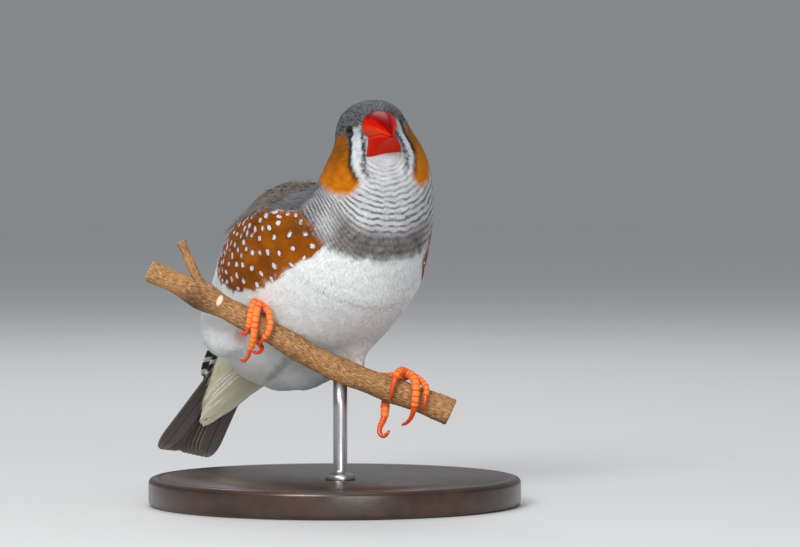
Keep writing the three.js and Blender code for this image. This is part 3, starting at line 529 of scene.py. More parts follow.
def grow_coat(name, hide, look, seed):
    """One piece of the coat. look gives density, length, width, depth, lift, pitch and colour over the hide."""
    rng = np.random.default_rng(seed)
    density, cell = look["density"](*hide.grid()), look["pitch"](*hide.grid())
    r, c = hide.scatter(density, shift=seed * 0.137)
    count = len(r)
    p, n, d = (hide.pick(v, r, c) for v in (hide.points, hide.normals, hide.lie))
    n, d = unit(n), unit(d)
    side = np.cross(n, d)
    curve, step = hide.pick(hide.curve, r, c), hide.pick(hide.step, r, c)
    length = look["length"](r, c) * rng.uniform(0.8, 1.2, count)
    width = look["width"](r, c) * rng.uniform(0.85, 1.15, count)
    depth, lift, pitch = look["depth"](r, c), look["lift"](r, c), look["pitch"](r, c)
    cr, cc = hide.scatter((density > 0) / cell ** 2, shift=0.41)
    centre = hide.pick(hide.points, cr, cc)
    own = nearest(centre, p)
    away = p - centre[own]
    x, y = (away * d).sum(1) / pitch, (away * side).sum(1) / pitch
    tone = rng.normal(0, 1, len(centre))[own] * 0.5 + rng.normal(0, 1, count) * 0.5
    d2 = unit(d + side * (y * TUFT_FAN + rng.normal(0, TUFT_STRAY, count))[:, None])
    side2 = np.cross(n, d2)
    rise = lift * (0.75 + 0.6 * np.clip(x, -0.6, 0.6) - 0.9 * np.clip(y * y, 0, 0.4)) * rng.uniform(0.8, 1.2, count)
    t = TUFT_LEVELS[None, :]
    run = t * length[:, None]
    height = -depth[:, None] * (1 - t) ** 1.2 + rise[:, None] * (0.35 + 0.65 * t ** 1.1)
    drop = 0.5 * curve[:, None] * run ** 2
    spine = p[:, None] + d2[:, None] * run[..., None] + n[:, None] * (height - drop)[..., None]
    up = unit(n[:, None] + d2[:, None] * (curve[:, None] * run)[..., None])
    half = width[:, None] * TUFT_SHAPE[None, :] / 2
    edge = side2[:, None] * half[..., None]
    ridge = up * (half * 0.6)[..., None]
    rings = np.stack([spine - edge, spine + edge, spine + ridge], 2)
    points = np.concatenate([rings[:, :-1].reshape(count, -1, 3), spine[:, -1:]], 1)
    points = clear_of_perch(points)
    per = points.shape[1]
    last = len(TUFT_LEVELS) - 1
    level_of = np.append(np.repeat(np.arange(last), 3), last)
    vr = r[:, None] + step[:, :1] * run[:, level_of]
    vc = c[:, None] + step[:, 1:] * run[:, level_of]
    tint, numbers = look["colour"](vr.ravel(), vc.ravel(), np.repeat(tone, per), np.repeat(x, per), np.repeat(y, per),
                                   np.tile(TUFT_LEVELS[level_of], count))
    mesh = mesh_of(name, points.reshape(-1, 3), tuft_faces(count))
    put_colour(mesh, "Tint", tint)
    for key, values in numbers.items():
        put_number(mesh, key, values)
    body_normal = np.repeat(n[:, None], per, 1) + d2[:, None] * (curve[:, None] * run)[:, level_of][..., None]
    own_normal = points - (spine[:, level_of] - up[:, level_of] * (half[:, level_of] * 0.5)[..., None])
    mixed = unit(lerp(unit(own_normal), unit(body_normal), TUFT_SOFT))
    mesh.normals_split_custom_set_from_vertices(mixed.reshape(-1, 3).tolist())
    u, v = (0.01 + 0.975 * (k - k.min()) / (k.max() + 1e-3 - k.min()) for k in (c, r))
    patch = np.stack([np.append(np.tile([0.0, 1.0, 0.5], last), 0.5), TUFT_LEVELS[level_of]], 1) * 0.003
    put_uv(mesh, "OFBake", (np.stack([u, v], 1)[:, None] + patch[None]).reshape(-1, 2))
    return mesh


# Markings

def fold(angle):
    """Degrees round from the bird's front, to either side."""
    return np.abs((np.degrees(angle) - 90 + 180) % 360 - 180)


def cheek_distance(phi, level, right):
    """Signed distance to the nearer cheek's outline."""
    return np.where(right, edge_distance(phi, level, CHEEK[-1], *HEAD_SCALE),
                    edge_distance(phi, level, CHEEK[1], *HEAD_SCALE))


def flank_distance(phi, level, right):
    """Signed distance to the nearer flank's outline."""
    return np.where(right, edge_distance(phi, level, FLANK[-1], *BODY_SCALE),
                    edge_distance(phi, level, FLANK[1], *BODY_SCALE))


def stripe_edges(level, right):
    """Where the white stripe's rear and front edges stand, in degrees round from the front."""
    rear, ahead = (np.where(right, np.interp(level, STRIPE[-1][0], STRIPE[-1][i]),
                            np.interp(level, STRIPE[1][0], STRIPE[1][i])) for i in (1, 2))
    return rear, ahead


def edge_distance(x, y, corners, x_scale, y_scale):
    """Signed distance to a closed outline: below 0 inside."""
    px, py = np.asarray(x) * x_scale, np.asarray(y) * y_scale
    pts = np.array(corners, float) * (x_scale, y_scale)
    best, inside = np.full(px.shape, 1e9), np.zeros(px.shape, bool)
    for (ax, ay), (bx, by) in zip(pts, np.roll(pts, -1, 0)):
        ex, ey = bx - ax, by - ay
        t = np.clip(((px - ax) * ex + (py - ay) * ey) / (ex * ex + ey * ey), 0, 1)
        best = np.minimum(best, np.hypot(px - ax - t * ex, py - ay - t * ey))
        crosses = (ay > py) != (by > py)
        inside ^= crosses & (px < ax + (py - ay) * ex / np.where(ey == 0, 1e-9, ey))
    return np.where(inside, -best, best)


# Outlines as (degrees round from the front, station): the head's turn makes the two cheeks differ a little
CHEEK_BACK = [(92, 10.4), (104, 10.9), (107, 11.5), (97, 12.15), (80, 12.55), (63, 12.7)]
CHEEK = {
    -1: [(52, 11.8), (43, 11.2), (36, 10.7), (27, 10.2), (17, 9.85), (21, 9.68), (33, 9.62), (48, 9.72), (60, 9.92),
         (72, 10.12)] + CHEEK_BACK,
    1: [(55, 11.9), (51, 11.3), (47, 10.8), (41, 10.1), (37, 9.75), (40, 9.62), (52, 9.55), (64, 9.68), (78, 10.0)]
    + CHEEK_BACK,
}
FLANK_BACK = [(97, 7.55), (108, 6.8), (116, 6.1), (113, 5.4), (106, 5.0)]
FLANK = {
    -1: [(36, 8.56), (50, 8.83), (64, 9.05), (78, 8.88), (88, 8.25)] + FLANK_BACK
    + [(88, 5.08), (79, 5.28), (68, 5.5), (56, 6.08), (50.5, 6.65), (46, 7.9), (41, 8.25)],
    1: [(52, 8.35), (62, 8.55), (74, 8.7), (84, 8.5), (90, 8.1)] + FLANK_BACK
    + [(92, 5.1), (86, 5.4), (78, 5.8), (69, 6.4), (63, 7.1), (57, 7.9)],
}
# The white stripe before each eye: stations, and degrees round of its rear and front edges
STRIPE = {
    -1: ([9.7, 9.9, 10.15, 10.65, 11.45, 12.2, 13.3], [17, 20, 25, 34, 42, 48, 49], [6, 10, 16, 22, 28, 32, 32]),
    1: ([9.7, 9.9, 10.15, 10.65, 11.45, 12.2, 13.3], [35, 37, 40, 45, 48, 48, 47], [28, 30, 33, 37, 38, 36, 35]),
}
CHIN = HEAD.at(0.4, 6.0, -5.2)
LEG_SKIN = np.array([-17.4, 10.4, 36.2])
EYE_OUT = math.radians(59)
EYE_SPOT = {"left": 4.1, "front": 0.7, "up": 0.0, "radius": 2.3, "opening": 1.72}
VENT, BAND, FRINGE = linear(226, 223, 206), linear(97, 88, 84), linear(204, 166, 148)
LORE, WHITE, BLACK = linear(172, 173, 176), linear(214, 220, 224), linear(22, 19, 18)
NO_SPOT = 9.0
PLAIN_NUMBERS = {"bar_phase": 0.0, "bar_depth": 0.0, "spot": NO_SPOT, "spotted": 0.0}
HEAD_SCALE = (0.155, 4.0)
BODY_SCALE = (0.35, 8.0)

BODY_ROWS, BODY_COLS = 24, 288
BLEND = 2.2
BELLY_FOLD = {"path": [(5.4, 13.2, -8), (4.2, 12.2, -14), (2.2, 10.6, -19.5), (0.8, 7.2, -25)],
              "radii": [6.2, 6.4, 6.3, 5]}


def body_coords(r, c):
    return r / BODY_ROWS, c * TAU / BODY_COLS


def flow_over_body(points, normals):
    """The way the feathers lie: from the bill over the head, then down the body to the tail."""
    _, front, up = HEAD.local(points)
    source = HEAD.at(0, 6.5, -1.5)
    away = unit(points - source)
    behind = ease(-front, -2.5, 9)
    head_way = away - 1.3 * behind[..., None] * HEAD.up - 0.25 * HEAD.up * ease(-up, -1, 5)[..., None]
    down = -TORSO.up
    share = ease(up, -19, -7)
    return head_way * share[..., None] + down * (1 - share)[..., None]


def capsule_distance(points, path, radii):
    """Distance to a chain of tapered rods."""
    best = np.full(points.shape[:-1], 99.0)
    for a, b, ra, rb in zip(path, path[1:], radii, radii[1:]):
        t = np.clip(((points - a) @ (b - a)) / ((b - a) @ (b - a)), 0, 1)
        best = np.minimum(best, np.linalg.norm(points - a - t[..., None] * (b - a), axis=-1) - lerp(ra, rb, t))
    return best


def make_body_hide():
    """The body's surface, swelled softly over the thighs and over the fold of feathers low on the belly."""
    r = np.arange(LAST * BODY_ROWS + 1, dtype=float)
    c = np.arange(BODY_COLS + 1, dtype=float)
    s, angle = body_coords(*np.meshgrid(r, c, indexing="ij"))
    plain = Hide(body_surface(s, angle), flow_over_body)
    forms = []
    for path, wide, narrow in THIGHS.values():
        line, _ = curve_points([on_perch(*p) for p in path], 7)
        forms.append((line, lerp(wide, narrow, np.linspace(0, 1, 7) ** 1.6)))
    forms.append((np.array([TORSO.at(*p) for p in BELLY_FOLD["path"]]), BELLY_FOLD["radii"]))

    def outside(rise):
        points = plain.points + plain.normals * rise[..., None]
        best = rise
        for path, radii in forms:
            far = capsule_distance(points, path, radii)
            best = np.minimum(best, far) - np.maximum(BLEND - np.abs(best - far), 0) ** 2 / (4 * BLEND)
        return best

    low, high = np.zeros(plain.shape), np.full(plain.shape, 7.0)
    for _ in range(14):
        middle = (low + high) / 2
        inside = outside(middle) < 0
        low, high = np.where(inside, middle, low), np.where(inside, high, middle)
    rise = low * (low > 0.01)
    for _ in range(6):
        rise[1:-1] = (rise[:-2] + rise[2:] + 2 * rise[1:-1]) / 4
        rise[:, 1:-1] = (rise[:, :-2] + rise[:, 2:] + 2 * rise[:, 1:-1]) / 4
        rise[:, 0] = rise[:, -1] = (rise[:, 1] + rise[:, -2]) / 2
    return Hide(plain.points + plain.normals * rise[..., None], flow_over_body)


@functools.cache
def body_hide():
    return make_body_hide()


@functools.cache
def flank_spots(seed, spacing):
    """Seeded spots over each flank, each with its middle, its lie and its size."""
    hide, rng = body_hide(), np.random.default_rng(seed)
    rr, cc = hide.scatter(np.full(hide.shape, 6.0), shift=0.77)
    s, angle = body_coords(rr, cc)
    inside = flank_distance(fold(angle), s, np.cos(angle) < 0) < -0.4
    rr, cc = rr[inside], cc[inside]
    order = rng.permutation(len(rr))
    rr, cc = rr[order], cc[order]
    p = hide.pick(hide.points, rr, cc)
    s, angle = body_coords(rr, cc)
    gap = spacing / MM * (1.35 - 0.5 * ease(fold(angle), 60, 90)) * rng.uniform(0.7, 1.35, len(p))
    kept = []
    for i in range(len(p)):
        if all(np.linalg.norm(p[i] - p[j]) > max(gap[i], 1.5) for j in kept):
            kept.append(i)
    p, rr, cc = p[kept], rr[kept], cc[kept]
    lie = unit(hide.pick(hide.lie, rr, cc))
    normal = unit(hide.pick(hide.normals, rr, cc))
    turn = rng.normal(1.35, 0.5, len(p))[:, None]
    across = np.cross(normal, lie)
    way = unit(lie * np.cos(turn) + across * np.sin(turn))
    size = np.stack([rng.uniform(0.58, 0.92, len(p)), rng.uniform(0.42, 0.56, len(p))], 1)
    return p, way, np.cross(normal, way), size


def plumage(points, s, angle, settings, tone, x=0.0, y=0.0):
    """Markings at places on the body, and painted shade in the belly's crease: a colour and how throat bars run."""
    right = np.cos(angle) < 0
    phi = fold(angle) + 1.4 * wobble(points, 2.6, 11)
    lv = s + 0.045 * wobble(points, 2.2, 12)
    up = HEAD.local(points)[2]
    crown, back = np.array(settings.crown), np.array(settings.back)

    def over(base, colour, mask):
        return base + (colour - base) * np.clip(mask, 0, 1)[..., None]

    # Belly, back and nape
    colour = np.broadcast_to(np.array(settings.belly), points.shape)
    colour = over(colour, VENT, ease(-lv, -3.6, -1.8) * 0.7)
    shoulder = np.interp(phi, [0, 64, 78, 88, 97, 108, 116, 122],
                         [8.55, 8.95, 8.85, 8.2, 7.5, 6.75, 6.0, 5.0])
    grey = np.maximum(ease(lv, shoulder, shoulder + 0.12), ease(phi, 112, 124) * ease(lv, 1.5, 4.5))
    mantle = over(np.broadcast_to(crown, points.shape), back, ease(-lv, -9.7, -8.6) * ease(phi, 84, 104))
    colour = over(colour, mantle, grey)
    # Painted shade: a darker streak along the crease low on the right of the belly
    crease_shade = ease(-np.abs(phi - 15.5), -5, -0.8) * right * ease(lv, 2.6, 3.4) * ease(5.15 - lv, 0, 0.5)
    colour = colour * (1 - 0.34 * crease_shade)[..., None]
    bare = ease(-np.linalg.norm(points - LEG_SKIN, axis=-1), -2.1, -0.9)
    colour = over(colour, linear(222, 158, 134), 0.7 * bare)
    # Throat and breast band
    lateral, frontal, vertical = (points - CHIN) @ HEAD.left, (points - CHIN) @ HEAD.front, (points - CHIN) @ HEAD.up
    reach = np.sqrt(lateral ** 2 * (1 + 1.5 * ease(np.abs(lateral), 8, 19)) + vertical ** 2 + 0.3 * frontal ** 2)
    low = ease(lv, 8.48, 8.6)
    throat = low * ease(np.where(right, 72, 84) - phi, 0, 12) * ease(-up, -0.5, 4)
    colour = over(colour, np.array(settings.throat), throat)
    colour = colour * (1 - 0.42 * throat * right * ease(phi, 36, 56) * ease(reach, 10, 18))[..., None]
    band = ease(reach, 15.8, 19.5) * low * np.where(right, ease(47 - phi, 0, 24), ease(74 - phi, 0, 36))
    colour = over(colour, BAND, band * (0.85 + 0.15 * wobble(points, 1.2, 21)))
    # Flank
    chestnut_at = flank_distance(phi, lv, right)
    chestnut = np.array(settings.flank) * (0.72 + 0.5 * ease(wobble(points, 5, 22), -1, 1))[..., None]
    chestnut = chestnut * (1 - 0.45 * ease(chestnut_at, -1.6, 0.1) * ease(-lv, -6.6, -5.2))[..., None]
    streak = ease(np.sin(points @ TORSO.left * 7 + wobble(points, 3, 24) * 5), 0.0, 0.9)
    fringe = ease(-np.abs(chestnut_at + 0.35), -1.2, -0.2) * ease(-lv, -7.7, -6.9) * ease(62 - phi, 0, 8)
    colour = over(colour, chestnut, ease(-chestnut_at, -0.2, 0.25))
    colour = over(colour, FRINGE, fringe * streak * 0.75)
    edge = ease(-np.abs(chestnut_at - 0.35), -0.6, 0) * ease(lv, 8.0, 8.5) * ease(84 - phi, 0, 10)
    colour = over(colour, BLACK, edge * (0.4 + 0.3 * wobble(points, 1.4, 23)))
    # Face
    rear, ahead = stripe_edges(lv, right)
    span = ease(lv, 9.72, 9.95) * ease(13.3 - lv, 0, 0.5)
    stripe = ease(rear - phi, -1, 2) * ease(phi - ahead, -1.5, 2) * span
    lore = ease(ahead - phi, -2, 2) * ease(lv, 10.6, 11.2) * ease(14.0 - lv, 0, 1.4)
    colour = over(colour, LORE, lore * 0.85)
    cheek_at = cheek_distance(phi, lv, right)
    warm = np.array(settings.cheek) * (0.5 + 0.58 * ease(-lv, -11.6, -9.8) + 0.12 * wobble(points, 1.3, 25))[..., None]
    colour = over(colour, crown, ease(phi - rear, 0, 3) * ease(lv, 10.6, 11.2))
    colour = over(colour, warm, ease(-cheek_at, -0.2, 0.2))
    colour = over(colour, WHITE * (1 - 0.3 * ease(lv, 11.6, 12.8))[..., None], stripe)
    tear = ease(-np.abs(phi - rear - 2.0), -3.8, -1.2) * ease(lv, 9.78, 9.95) * ease(12.6 - lv, 0, 0.25)
    colour = over(colour, BLACK, tear)
    flecks = np.clip(0.75 + 1.3 * wobble(points, 0.75, 15), 0.0, 1)
    seam = ease(-np.abs(phi - ahead + 1.5), -4.5, -1.2) * ease(lv, 9.8, 10.1) * ease(13.0 - lv, 0, 0.8)
    colour = over(colour, BLACK, seam * flecks * 0.95)
    specks = lore * np.clip(1.6 * wobble(points, 0.7, 26) - 0.3, 0, 1)
    colour = over(colour, BLACK, specks * 0.6)
    # Crown and nape: a dark middle and a pale rim to each small feather
    plain = (cheek_at > 0.2) * (1 - throat) * (1 - stripe) * (1 - lore) * np.maximum(low, grey)
    middle = ease(0.3 - np.abs(y + 0.1 * tone), 0, 0.26) * ease(0.35 - x, 0, 0.5)
    high = ease(lv, 8.8, 10.6)
    pepper = ease(wobble(points, 0.55, 27), 0.1, 0.7) * ease(lv, 9.6, 11)
    colour = colour * (1 + plain * (0.12 + 0.28 * high - (0.3 + 0.75 * high) * middle - 0.5 * pepper))[..., None]
    spread = 0.03 + 0.05 * grey + 0.05 * (chestnut_at < 0) + 0.04 * (cheek_at < 0)
    spread = spread + 0.34 * plain * high * ease(lv, 9.4, 10.8) + 0.14 * band + 0.1 * stripe
    colour = colour * (1 - 0.16 * plain * ease(lv, 9.8, 11.2))[..., None]
    colour = np.clip(colour * (1 + spread * tone)[..., None], 0, 0.93)
    # Bars
    spacing = np.interp(reach, [2.2, 6, 10, 14, 18, 24, 36], [0, 4.0, 7.6, 10.9, 13.9, 18.2, 26.5])
    phase = spacing + 0.17 * wobble(points, 4.5, 17) + 0.12 * wobble(points, 1.5, 18)
    depth = throat * ease(reach, 1.8, 4.2) * (1 - ease(-cheek_at, -0.3, 0.1)) * (1 - stripe)
    depth = depth * (1 - 0.4 * ease(phi, 66, 88)) * (0.4 + 0.42 * ease(reach, 4, 15)) * (1 - 0.5 * band)
    depth = depth * np.clip(0.86 + 0.7 * wobble(points, 1.6, 19), 0.15, 1.05)
    return colour, {"bar_phase": phase, "bar_depth": np.clip(depth, 0, 1)}


def spot_numbers(points, s, angle, settings):
    """How far each place on a flank is from its nearest spot, 1 on the rim and less inside, and whether spots show."""
    inside = flank_distance(fold(angle), s, np.cos(angle) < 0) < 0.1
    found = np.full(len(points), NO_SPOT)
    if inside.any():
        places, best = points[inside], np.full(inside.sum(), NO_SPOT)
        for q, a, b, (long, wide) in zip(*flank_spots(settings.spot_seed, settings.spot_spacing)):
            d = places - q
            near = np.abs(d).max(1) < 2.5
            best[near] = np.minimum(best[near], np.sqrt((d[near] @ a / long) ** 2 + (d[near] @ b / wide) ** 2))
        found[inside] = best
    return {"spot": found, "spotted": inside.astype(float)}


def plumage_material():
    """Feather colours from the coat's own tints, with the throat's thin bars and the flank's oval spots."""
    if "feather_coat" in bpy.data.materials:
        return bpy.data.materials["feather_coat"]
    made, sh, skin = material("feather_coat", roughness=0.8, Specular_IOR_Level=0.12, Sheen_Weight=0.06,
                              Sheen_Roughness=0.5)
    tint = sh.node("Attribute", set={"attribute_name": "Tint"}).outputs["Color"]
    phase, depth, spot, on = (sh.number(name) for name in ("bar_phase", "bar_depth", "spot", "spotted"))
    off = sh.math("ABSOLUTE", sh.minus(sh.math("FRACT", phase), 0.5))
    barred = sh.mix(sh.times(sh.ramp(off, 0.12, 0.3, 1.0, 0.0), depth), tint, linear(72, 63, 60))
    rim = sh.times(sh.ramp(spot, 1.05, 1.65, 1.0, 0.0), sh.times(on, 0.55))
    ringed = sh.mix(rim, barred, linear(56, 26, 10))
    dot = sh.times(sh.ramp(spot, 0.82, 1.08, 1.0, 0.0), on)
    colour, height = sh.mottled(sh.mix(dot, ringed, linear(226, 218, 222)), 2600.0, 0.12)
    sh.finish(skin, colour, height, 0.00003, 0.3)
    return made


def body_look(settings, region):
    """The coat over the body hide where region(s, degrees, side) allows it."""
    hide = body_hide()
    left, front, up = FACE.local(hide.points)
    r, c = hide.grid()
    s, angle = body_coords(r, c)
    bill = (front > 1) & inside_bill(left, up)
    eyes = np.zeros(hide.shape, bool)
    for side in (-1, 1):
        eyes |= np.linalg.norm(hide.points - FACE.at(side * 6.3, 2.0, 0.0), axis=-1) < 2.15
    t_along = TORSO.local(hide.points)[2]
    phi = fold(angle)
    lower, upper = wing_edges(t_along)
    winged = (phi - 90 > lower + 5) & (phi - 90 < upper - 4) & (t_along < 5.5) & (t_along > -19)
    allowed = (~bill & ~eyes & ~winged).astype(float)
    head = ease(s, 9.0, 11.2)

    def at(values):
        return lambda rr, cc: hide.pick(values, rr, cc)

    def shown(rr, cc):
        ss, aa = body_coords(rr, cc)
        side = np.where(np.cos(aa) > 0, 1, -1)
        return allowed * region(ss, fold(aa), side) * density

    face = ease(s, 10.4, 11.6) * ease(front, -2, 3)
    flank = ease(-flank_distance(phi, s, np.cos(angle) < 0), -0.6, 0.2)
    density = lerp(lerp(lerp(13.0, 26.0, head), 36.0, face), 24.0, flank) * settings.density
    length = lerp(lerp(lerp(2.3, 1.35, head), 0.85, face), 1.35, flank)
    width = lerp(lerp(lerp(0.32, 0.22, head), 0.15, face), 0.24, flank)
    depth = lerp(lerp(0.5, 0.3, head), 0.38, flank)
    lift = lerp(lerp(0.24, 0.15, head), 0.17, flank) - 0.03 * face
    pitch = lerp(lerp(3.0, 1.0, head), 0.8, face)
    length = length + 0.9 * ease(-s, -4, -1.5)

    def colour(rr, cc, tone, x, y, t):
        ss, aa = body_coords(np.clip(rr, 0, LAST * BODY_ROWS), cc)
        points = hide.pick(hide.points, rr, cc)
        tint, numbers = plumage(points, ss, aa, settings, tone, x, y)
        # Painted shade: each tuft is darker towards its root, where the tufts overlap
        return tint * (0.92 + 0.08 * t)[:, None], numbers | spot_numbers(points, ss, aa, settings)

    return {"density": shown, "length": at(length), "width": at(width), "depth": at(depth), "lift": at(lift),
            "pitch": at(pitch), "colour": colour}


def clear_of_perch(points):
    """Pushes what would stand inside the branch out to its bark."""
    run, front, up = PERCH.local(points)
    rise = up - branch_bend(run)
    far = np.hypot(rise, front)
    least = branch_radius(run) + 0.12
    push = np.where((far < least) & (run > BRANCH["from"]) & (run < BRANCH["to"]), least / np.maximum(far, 0.2), 1)
    return on_perch(run, branch_bend(run) + rise * push, front * push)


# Wings, tail and coverts: vanes

LEAVE = -17
WING_FRONT, WING_END, WING_LOW, WING_HIGH = 11, -43, 34, 80


def wing_edges(along):
    t = np.clip((WING_FRONT - along) / (WING_FRONT - WING_END), 0, 1)
    return lerp(WING_LOW - 12, WING_LOW + 16, t), lerp(WING_HIGH - 10, WING_HIGH, np.minimum(t * 4, 1))


LEVELS = np.linspace(0, 8, 801)
ALONGS = through([st[1] for st in STATIONS[:9]], LEVELS)


def over_torso(side, along, round_, lift):
    """A point over the torso: along the spine, round from the flank (0) to the back (90), lifted off the surface."""
    along, round_, lift = np.broadcast_arrays(np.asarray(along, float), round_, lift)
    past = np.maximum(LEAVE - along, 0)
    s = np.interp(np.maximum(along, LEAVE), ALONGS, LEVELS)
    half = size_at(3, s) - 0.36 * past + lift
    back = size_at(5, s) - 0.1 * past + lift
    angle = np.radians(round_)
    return TORSO.at(side * half * np.cos(angle), size_at(2, s) - back * np.sin(angle), along)


def vane_rings(spine, up, half, shaft=0.5, camber=0.25, thick=0.16, slant=0.0, columns=9):
    """Rings of one closed feather: a thin, cambered blade on its shaft. shaft is where the quill stands across it."""
    run = unit(np.gradient(spine, axis=0))
    up = unit(up - (up * run).sum(-1, keepdims=True) * run)
    side = np.cross(up, run)
    x = np.linspace(-1, 1, columns)
    across = (x[None, :] + 1 - 2 * shaft) * half[:, None]
    arch = camber * (1 - x[None, :] ** 2) * (half[:, None] / max(half.max(), 1e-6)) + slant * x[None, :] * half[:, None]
    skin = thick * (1 - x[None, :] ** 2) ** 0.5 * np.linspace(1, 0.6, len(spine))[:, None]
    quill = 0.09 * np.exp(-((x[None, :] + 1 - 2 * shaft) / 0.12) ** 2) * (1 - np.linspace(0, 1, len(spine))[:, None])
    flat = spine[:, None] + side[:, None] * across[..., None]
    top = flat + up[:, None] * (arch + skin / 2 + quill)[..., None]
    low = flat + up[:, None] * (arch - skin / 2)[..., None]
    rings = np.concatenate([top, low[:, -2:0:-1]], 1)
    xs = np.concatenate([x, x[-2:0:-1]])
    return rings, xs, np.concatenate([across, across[:, -2:0:-1]], 1)


def blade(t, tip=0.75, root=0.5, sharp=0.5):
    """How the width of a feather runs from root to tip."""
    end = np.maximum(1 - (np.clip(t - tip, 0, 1) / (1 - tip)) ** 2, 0.0) ** sharp
    return np.maximum(lerp(root, 1, ease(t, 0, 0.35)) * end, 0.03)


class Feathers(Bundle):
    """Feathers gathered into one mesh, each with its own place in the bake map."""

    def __init__(self, columns):
        super().__init__()
        self.cells, self.columns, self.uv = 0, columns, []

    def feather(self, spine, up, width, **shape):
        tip, root, sharp = shape.pop("tip", 0.75), shape.pop("root", 0.5), shape.pop("sharp", 0.5)
        t = np.linspace(0, 1, len(spine))
        t = 1 - (1 - t) ** 1.35
        line = np.stack([np.interp(t, np.linspace(0, 1, len(spine)), spine[:, i]) for i in range(3)], 1)
        ups = np.stack([np.interp(t, np.linspace(0, 1, len(spine)), up[:, i]) for i in range(3)], 1)
        rings, xs, across = vane_rings(line, ups, width / 2 * blade(t, tip, root, sharp), **shape)
        far = np.concatenate([[0], np.cumsum(np.linalg.norm(np.diff(line, axis=0), axis=1))])
        self.add(rings, vane_x=np.broadcast_to(xs, rings.shape[:2]),
                 vane_t=np.broadcast_to(t[:, None], rings.shape[:2]),
                 barb=far[:, None] + 0.9 * np.abs(across), body_mm=TORSO.local(rings)[2] + 60 + 0.25 * np.abs(across))
        row, col = divmod(self.cells, self.columns)
        size = 1 / self.columns
        ring_count = rings.shape[1]
        half = (ring_count + 2) // 2
        under = np.where(np.arange(ring_count) < half, 0, 1)
        u = (col + 0.04 + 0.44 * ((xs + 1) / 2) + 0.48 * under) * size
        v = (row + 0.04 + 0.92 * t) * size
        grid = np.stack(np.broadcast_arrays(u[None, :], v[:, None]), -1).reshape(-1, 2)
        self.uv.append(np.concatenate([grid, [[u.mean(), v[0]], [u.mean(), v[-1]]]]))
        self.cells += 1

    def piece_mesh(self, name):
        mesh = self.mesh(name)
        put_uv(mesh, "OFBake", np.clip(np.concatenate(self.uv), 0, 1))
        return mesh


def feather_material(name, base, edge, quill, edge_width=0.22, bars=None, roughness=0.62, ribs=0.07):
    """A vane: fine slanting barbs, a pale edge and a quill, from the feather's own coordinates."""
    made, sh, skin = material(name, roughness=roughness, Specular_IOR_Level=0.3, Sheen_Weight=0.12)
    across = sh.math("ABSOLUTE", sh.number("vane_x"))
    along = sh.number("vane_t")
    fray = sh.minus(sh.noise(900.0, 2.0), 0.5)
    rim = sh.ramp(sh.plus(across, sh.times(fray, 0.22)), 1 - edge_width, 1.0)
    tip = sh.ramp(sh.plus(along, sh.times(fray, 0.08)), 0.93, 1.0)
    colour = sh.mix(sh.ramp(along, 0.0, 0.9), np.array(base) * 0.75, base)
    colour = sh.mix(sh.math("MAXIMUM", rim, tip), colour, edge)
    if bars:
        spacing, width, pale = bars
        run = sh.scaled(fray, 0.25, sh.number("body_mm"))
        wave = sh.math("ABSOLUTE", sh.minus(sh.math("FRACT", sh.math("DIVIDE", run, spacing)), 0.5))
        colour = sh.mix(sh.ramp(wave, width, width + 0.05, 1.0, 0.0), colour, pale)
    colour = sh.mix(sh.ramp(across, 0.03, 0.09, 1.0, 0.0), colour, quill)
    rows = sh.math("SINE", sh.times(sh.number("barb"), TAU / 0.34))
    colour, _ = sh.mottled(sh.bright(colour, sh.scaled(rows, ribs, 1.0)), 1500.0, 0.2)
    sh.finish(skin, colour, rows, 0.00006 * min(1, ribs / 0.07), 0.6)
    return made


# Rows of the folded wing: count, first and last root, first and last tip (along, round), lift at both ends, width,
# points along each feather, and where its quill stands across it
WING_ROWS = [
    (9, (-9, 46), (-13, 52), (-42.5, 67), (-25, 57), (-1.9, -1.0), 4.6, 16, 0.34),
    (6, (-7, 46), (-9, 62), (-27, 56), (-21, 68), (-1.1, -0.6), 5.2, 13, 0.4),
    (4, (-5, 62), (-4, 74), (-24, 69), (-15, 76), (-0.55, 0.05), 5.6, 12, 0.5),
    (9, (2, 34), (-2, 72), (-12.5, 45), (-8.5, 74), (-0.42, -0.1), 4.5, 10, 0.45),
    (10, (6, 33), (3, 74), (-5, 40), (-3.5, 73), (-0.1, 0.15), 3.6, 9, 0.5),
    (11, (8.6, 33), (6.5, 74), (-0.2, 36), (0.8, 72), (0.02, 0.18), 3.0, 8, 0.5),
    (11, (10.6, 36), (9.4, 74), (3.6, 35), (4.2, 71), (-0.1, 0.02), 2.8, 7, 0.5),
]


def wing_bundle(side, seed):
    rng = np.random.default_rng(seed)
    wing = Feathers(9)
    for k, (count, root_a, root_b, tip_a, tip_b, lift, width, steps, shaft) in enumerate(WING_ROWS):
        for i in range(count):
            t = i / (count - 1)
            q = np.linspace(0, 1, steps)
            root = lerp(np.array(root_a, float), np.array(root_b, float), t)
            tip = lerp(np.array(tip_a, float), np.array(tip_b, float), t) + rng.normal(0, 0.25, 2)
            along, round_ = lerp(root[0], tip[0], q), lerp(root[1], tip[1], q ** 1.3)
            high = lerp(lift[0], lift[1], t) + rng.uniform(-0.03, 0.03) + 0.05 * (i % 2)
            spine = over_torso(side, along, round_, high)
            up = over_torso(side, along, round_, high + 1) - spine
            quill = shaft if side > 0 else 1 - shaft
            wing.feather(spine, up, width * rng.uniform(0.95, 1.05), shaft=quill, slant=side * 0.1,
                         camber=0.3, tip=0.72 if k else 0.6, sharp=0.5 if k else 0.7)
    return wing


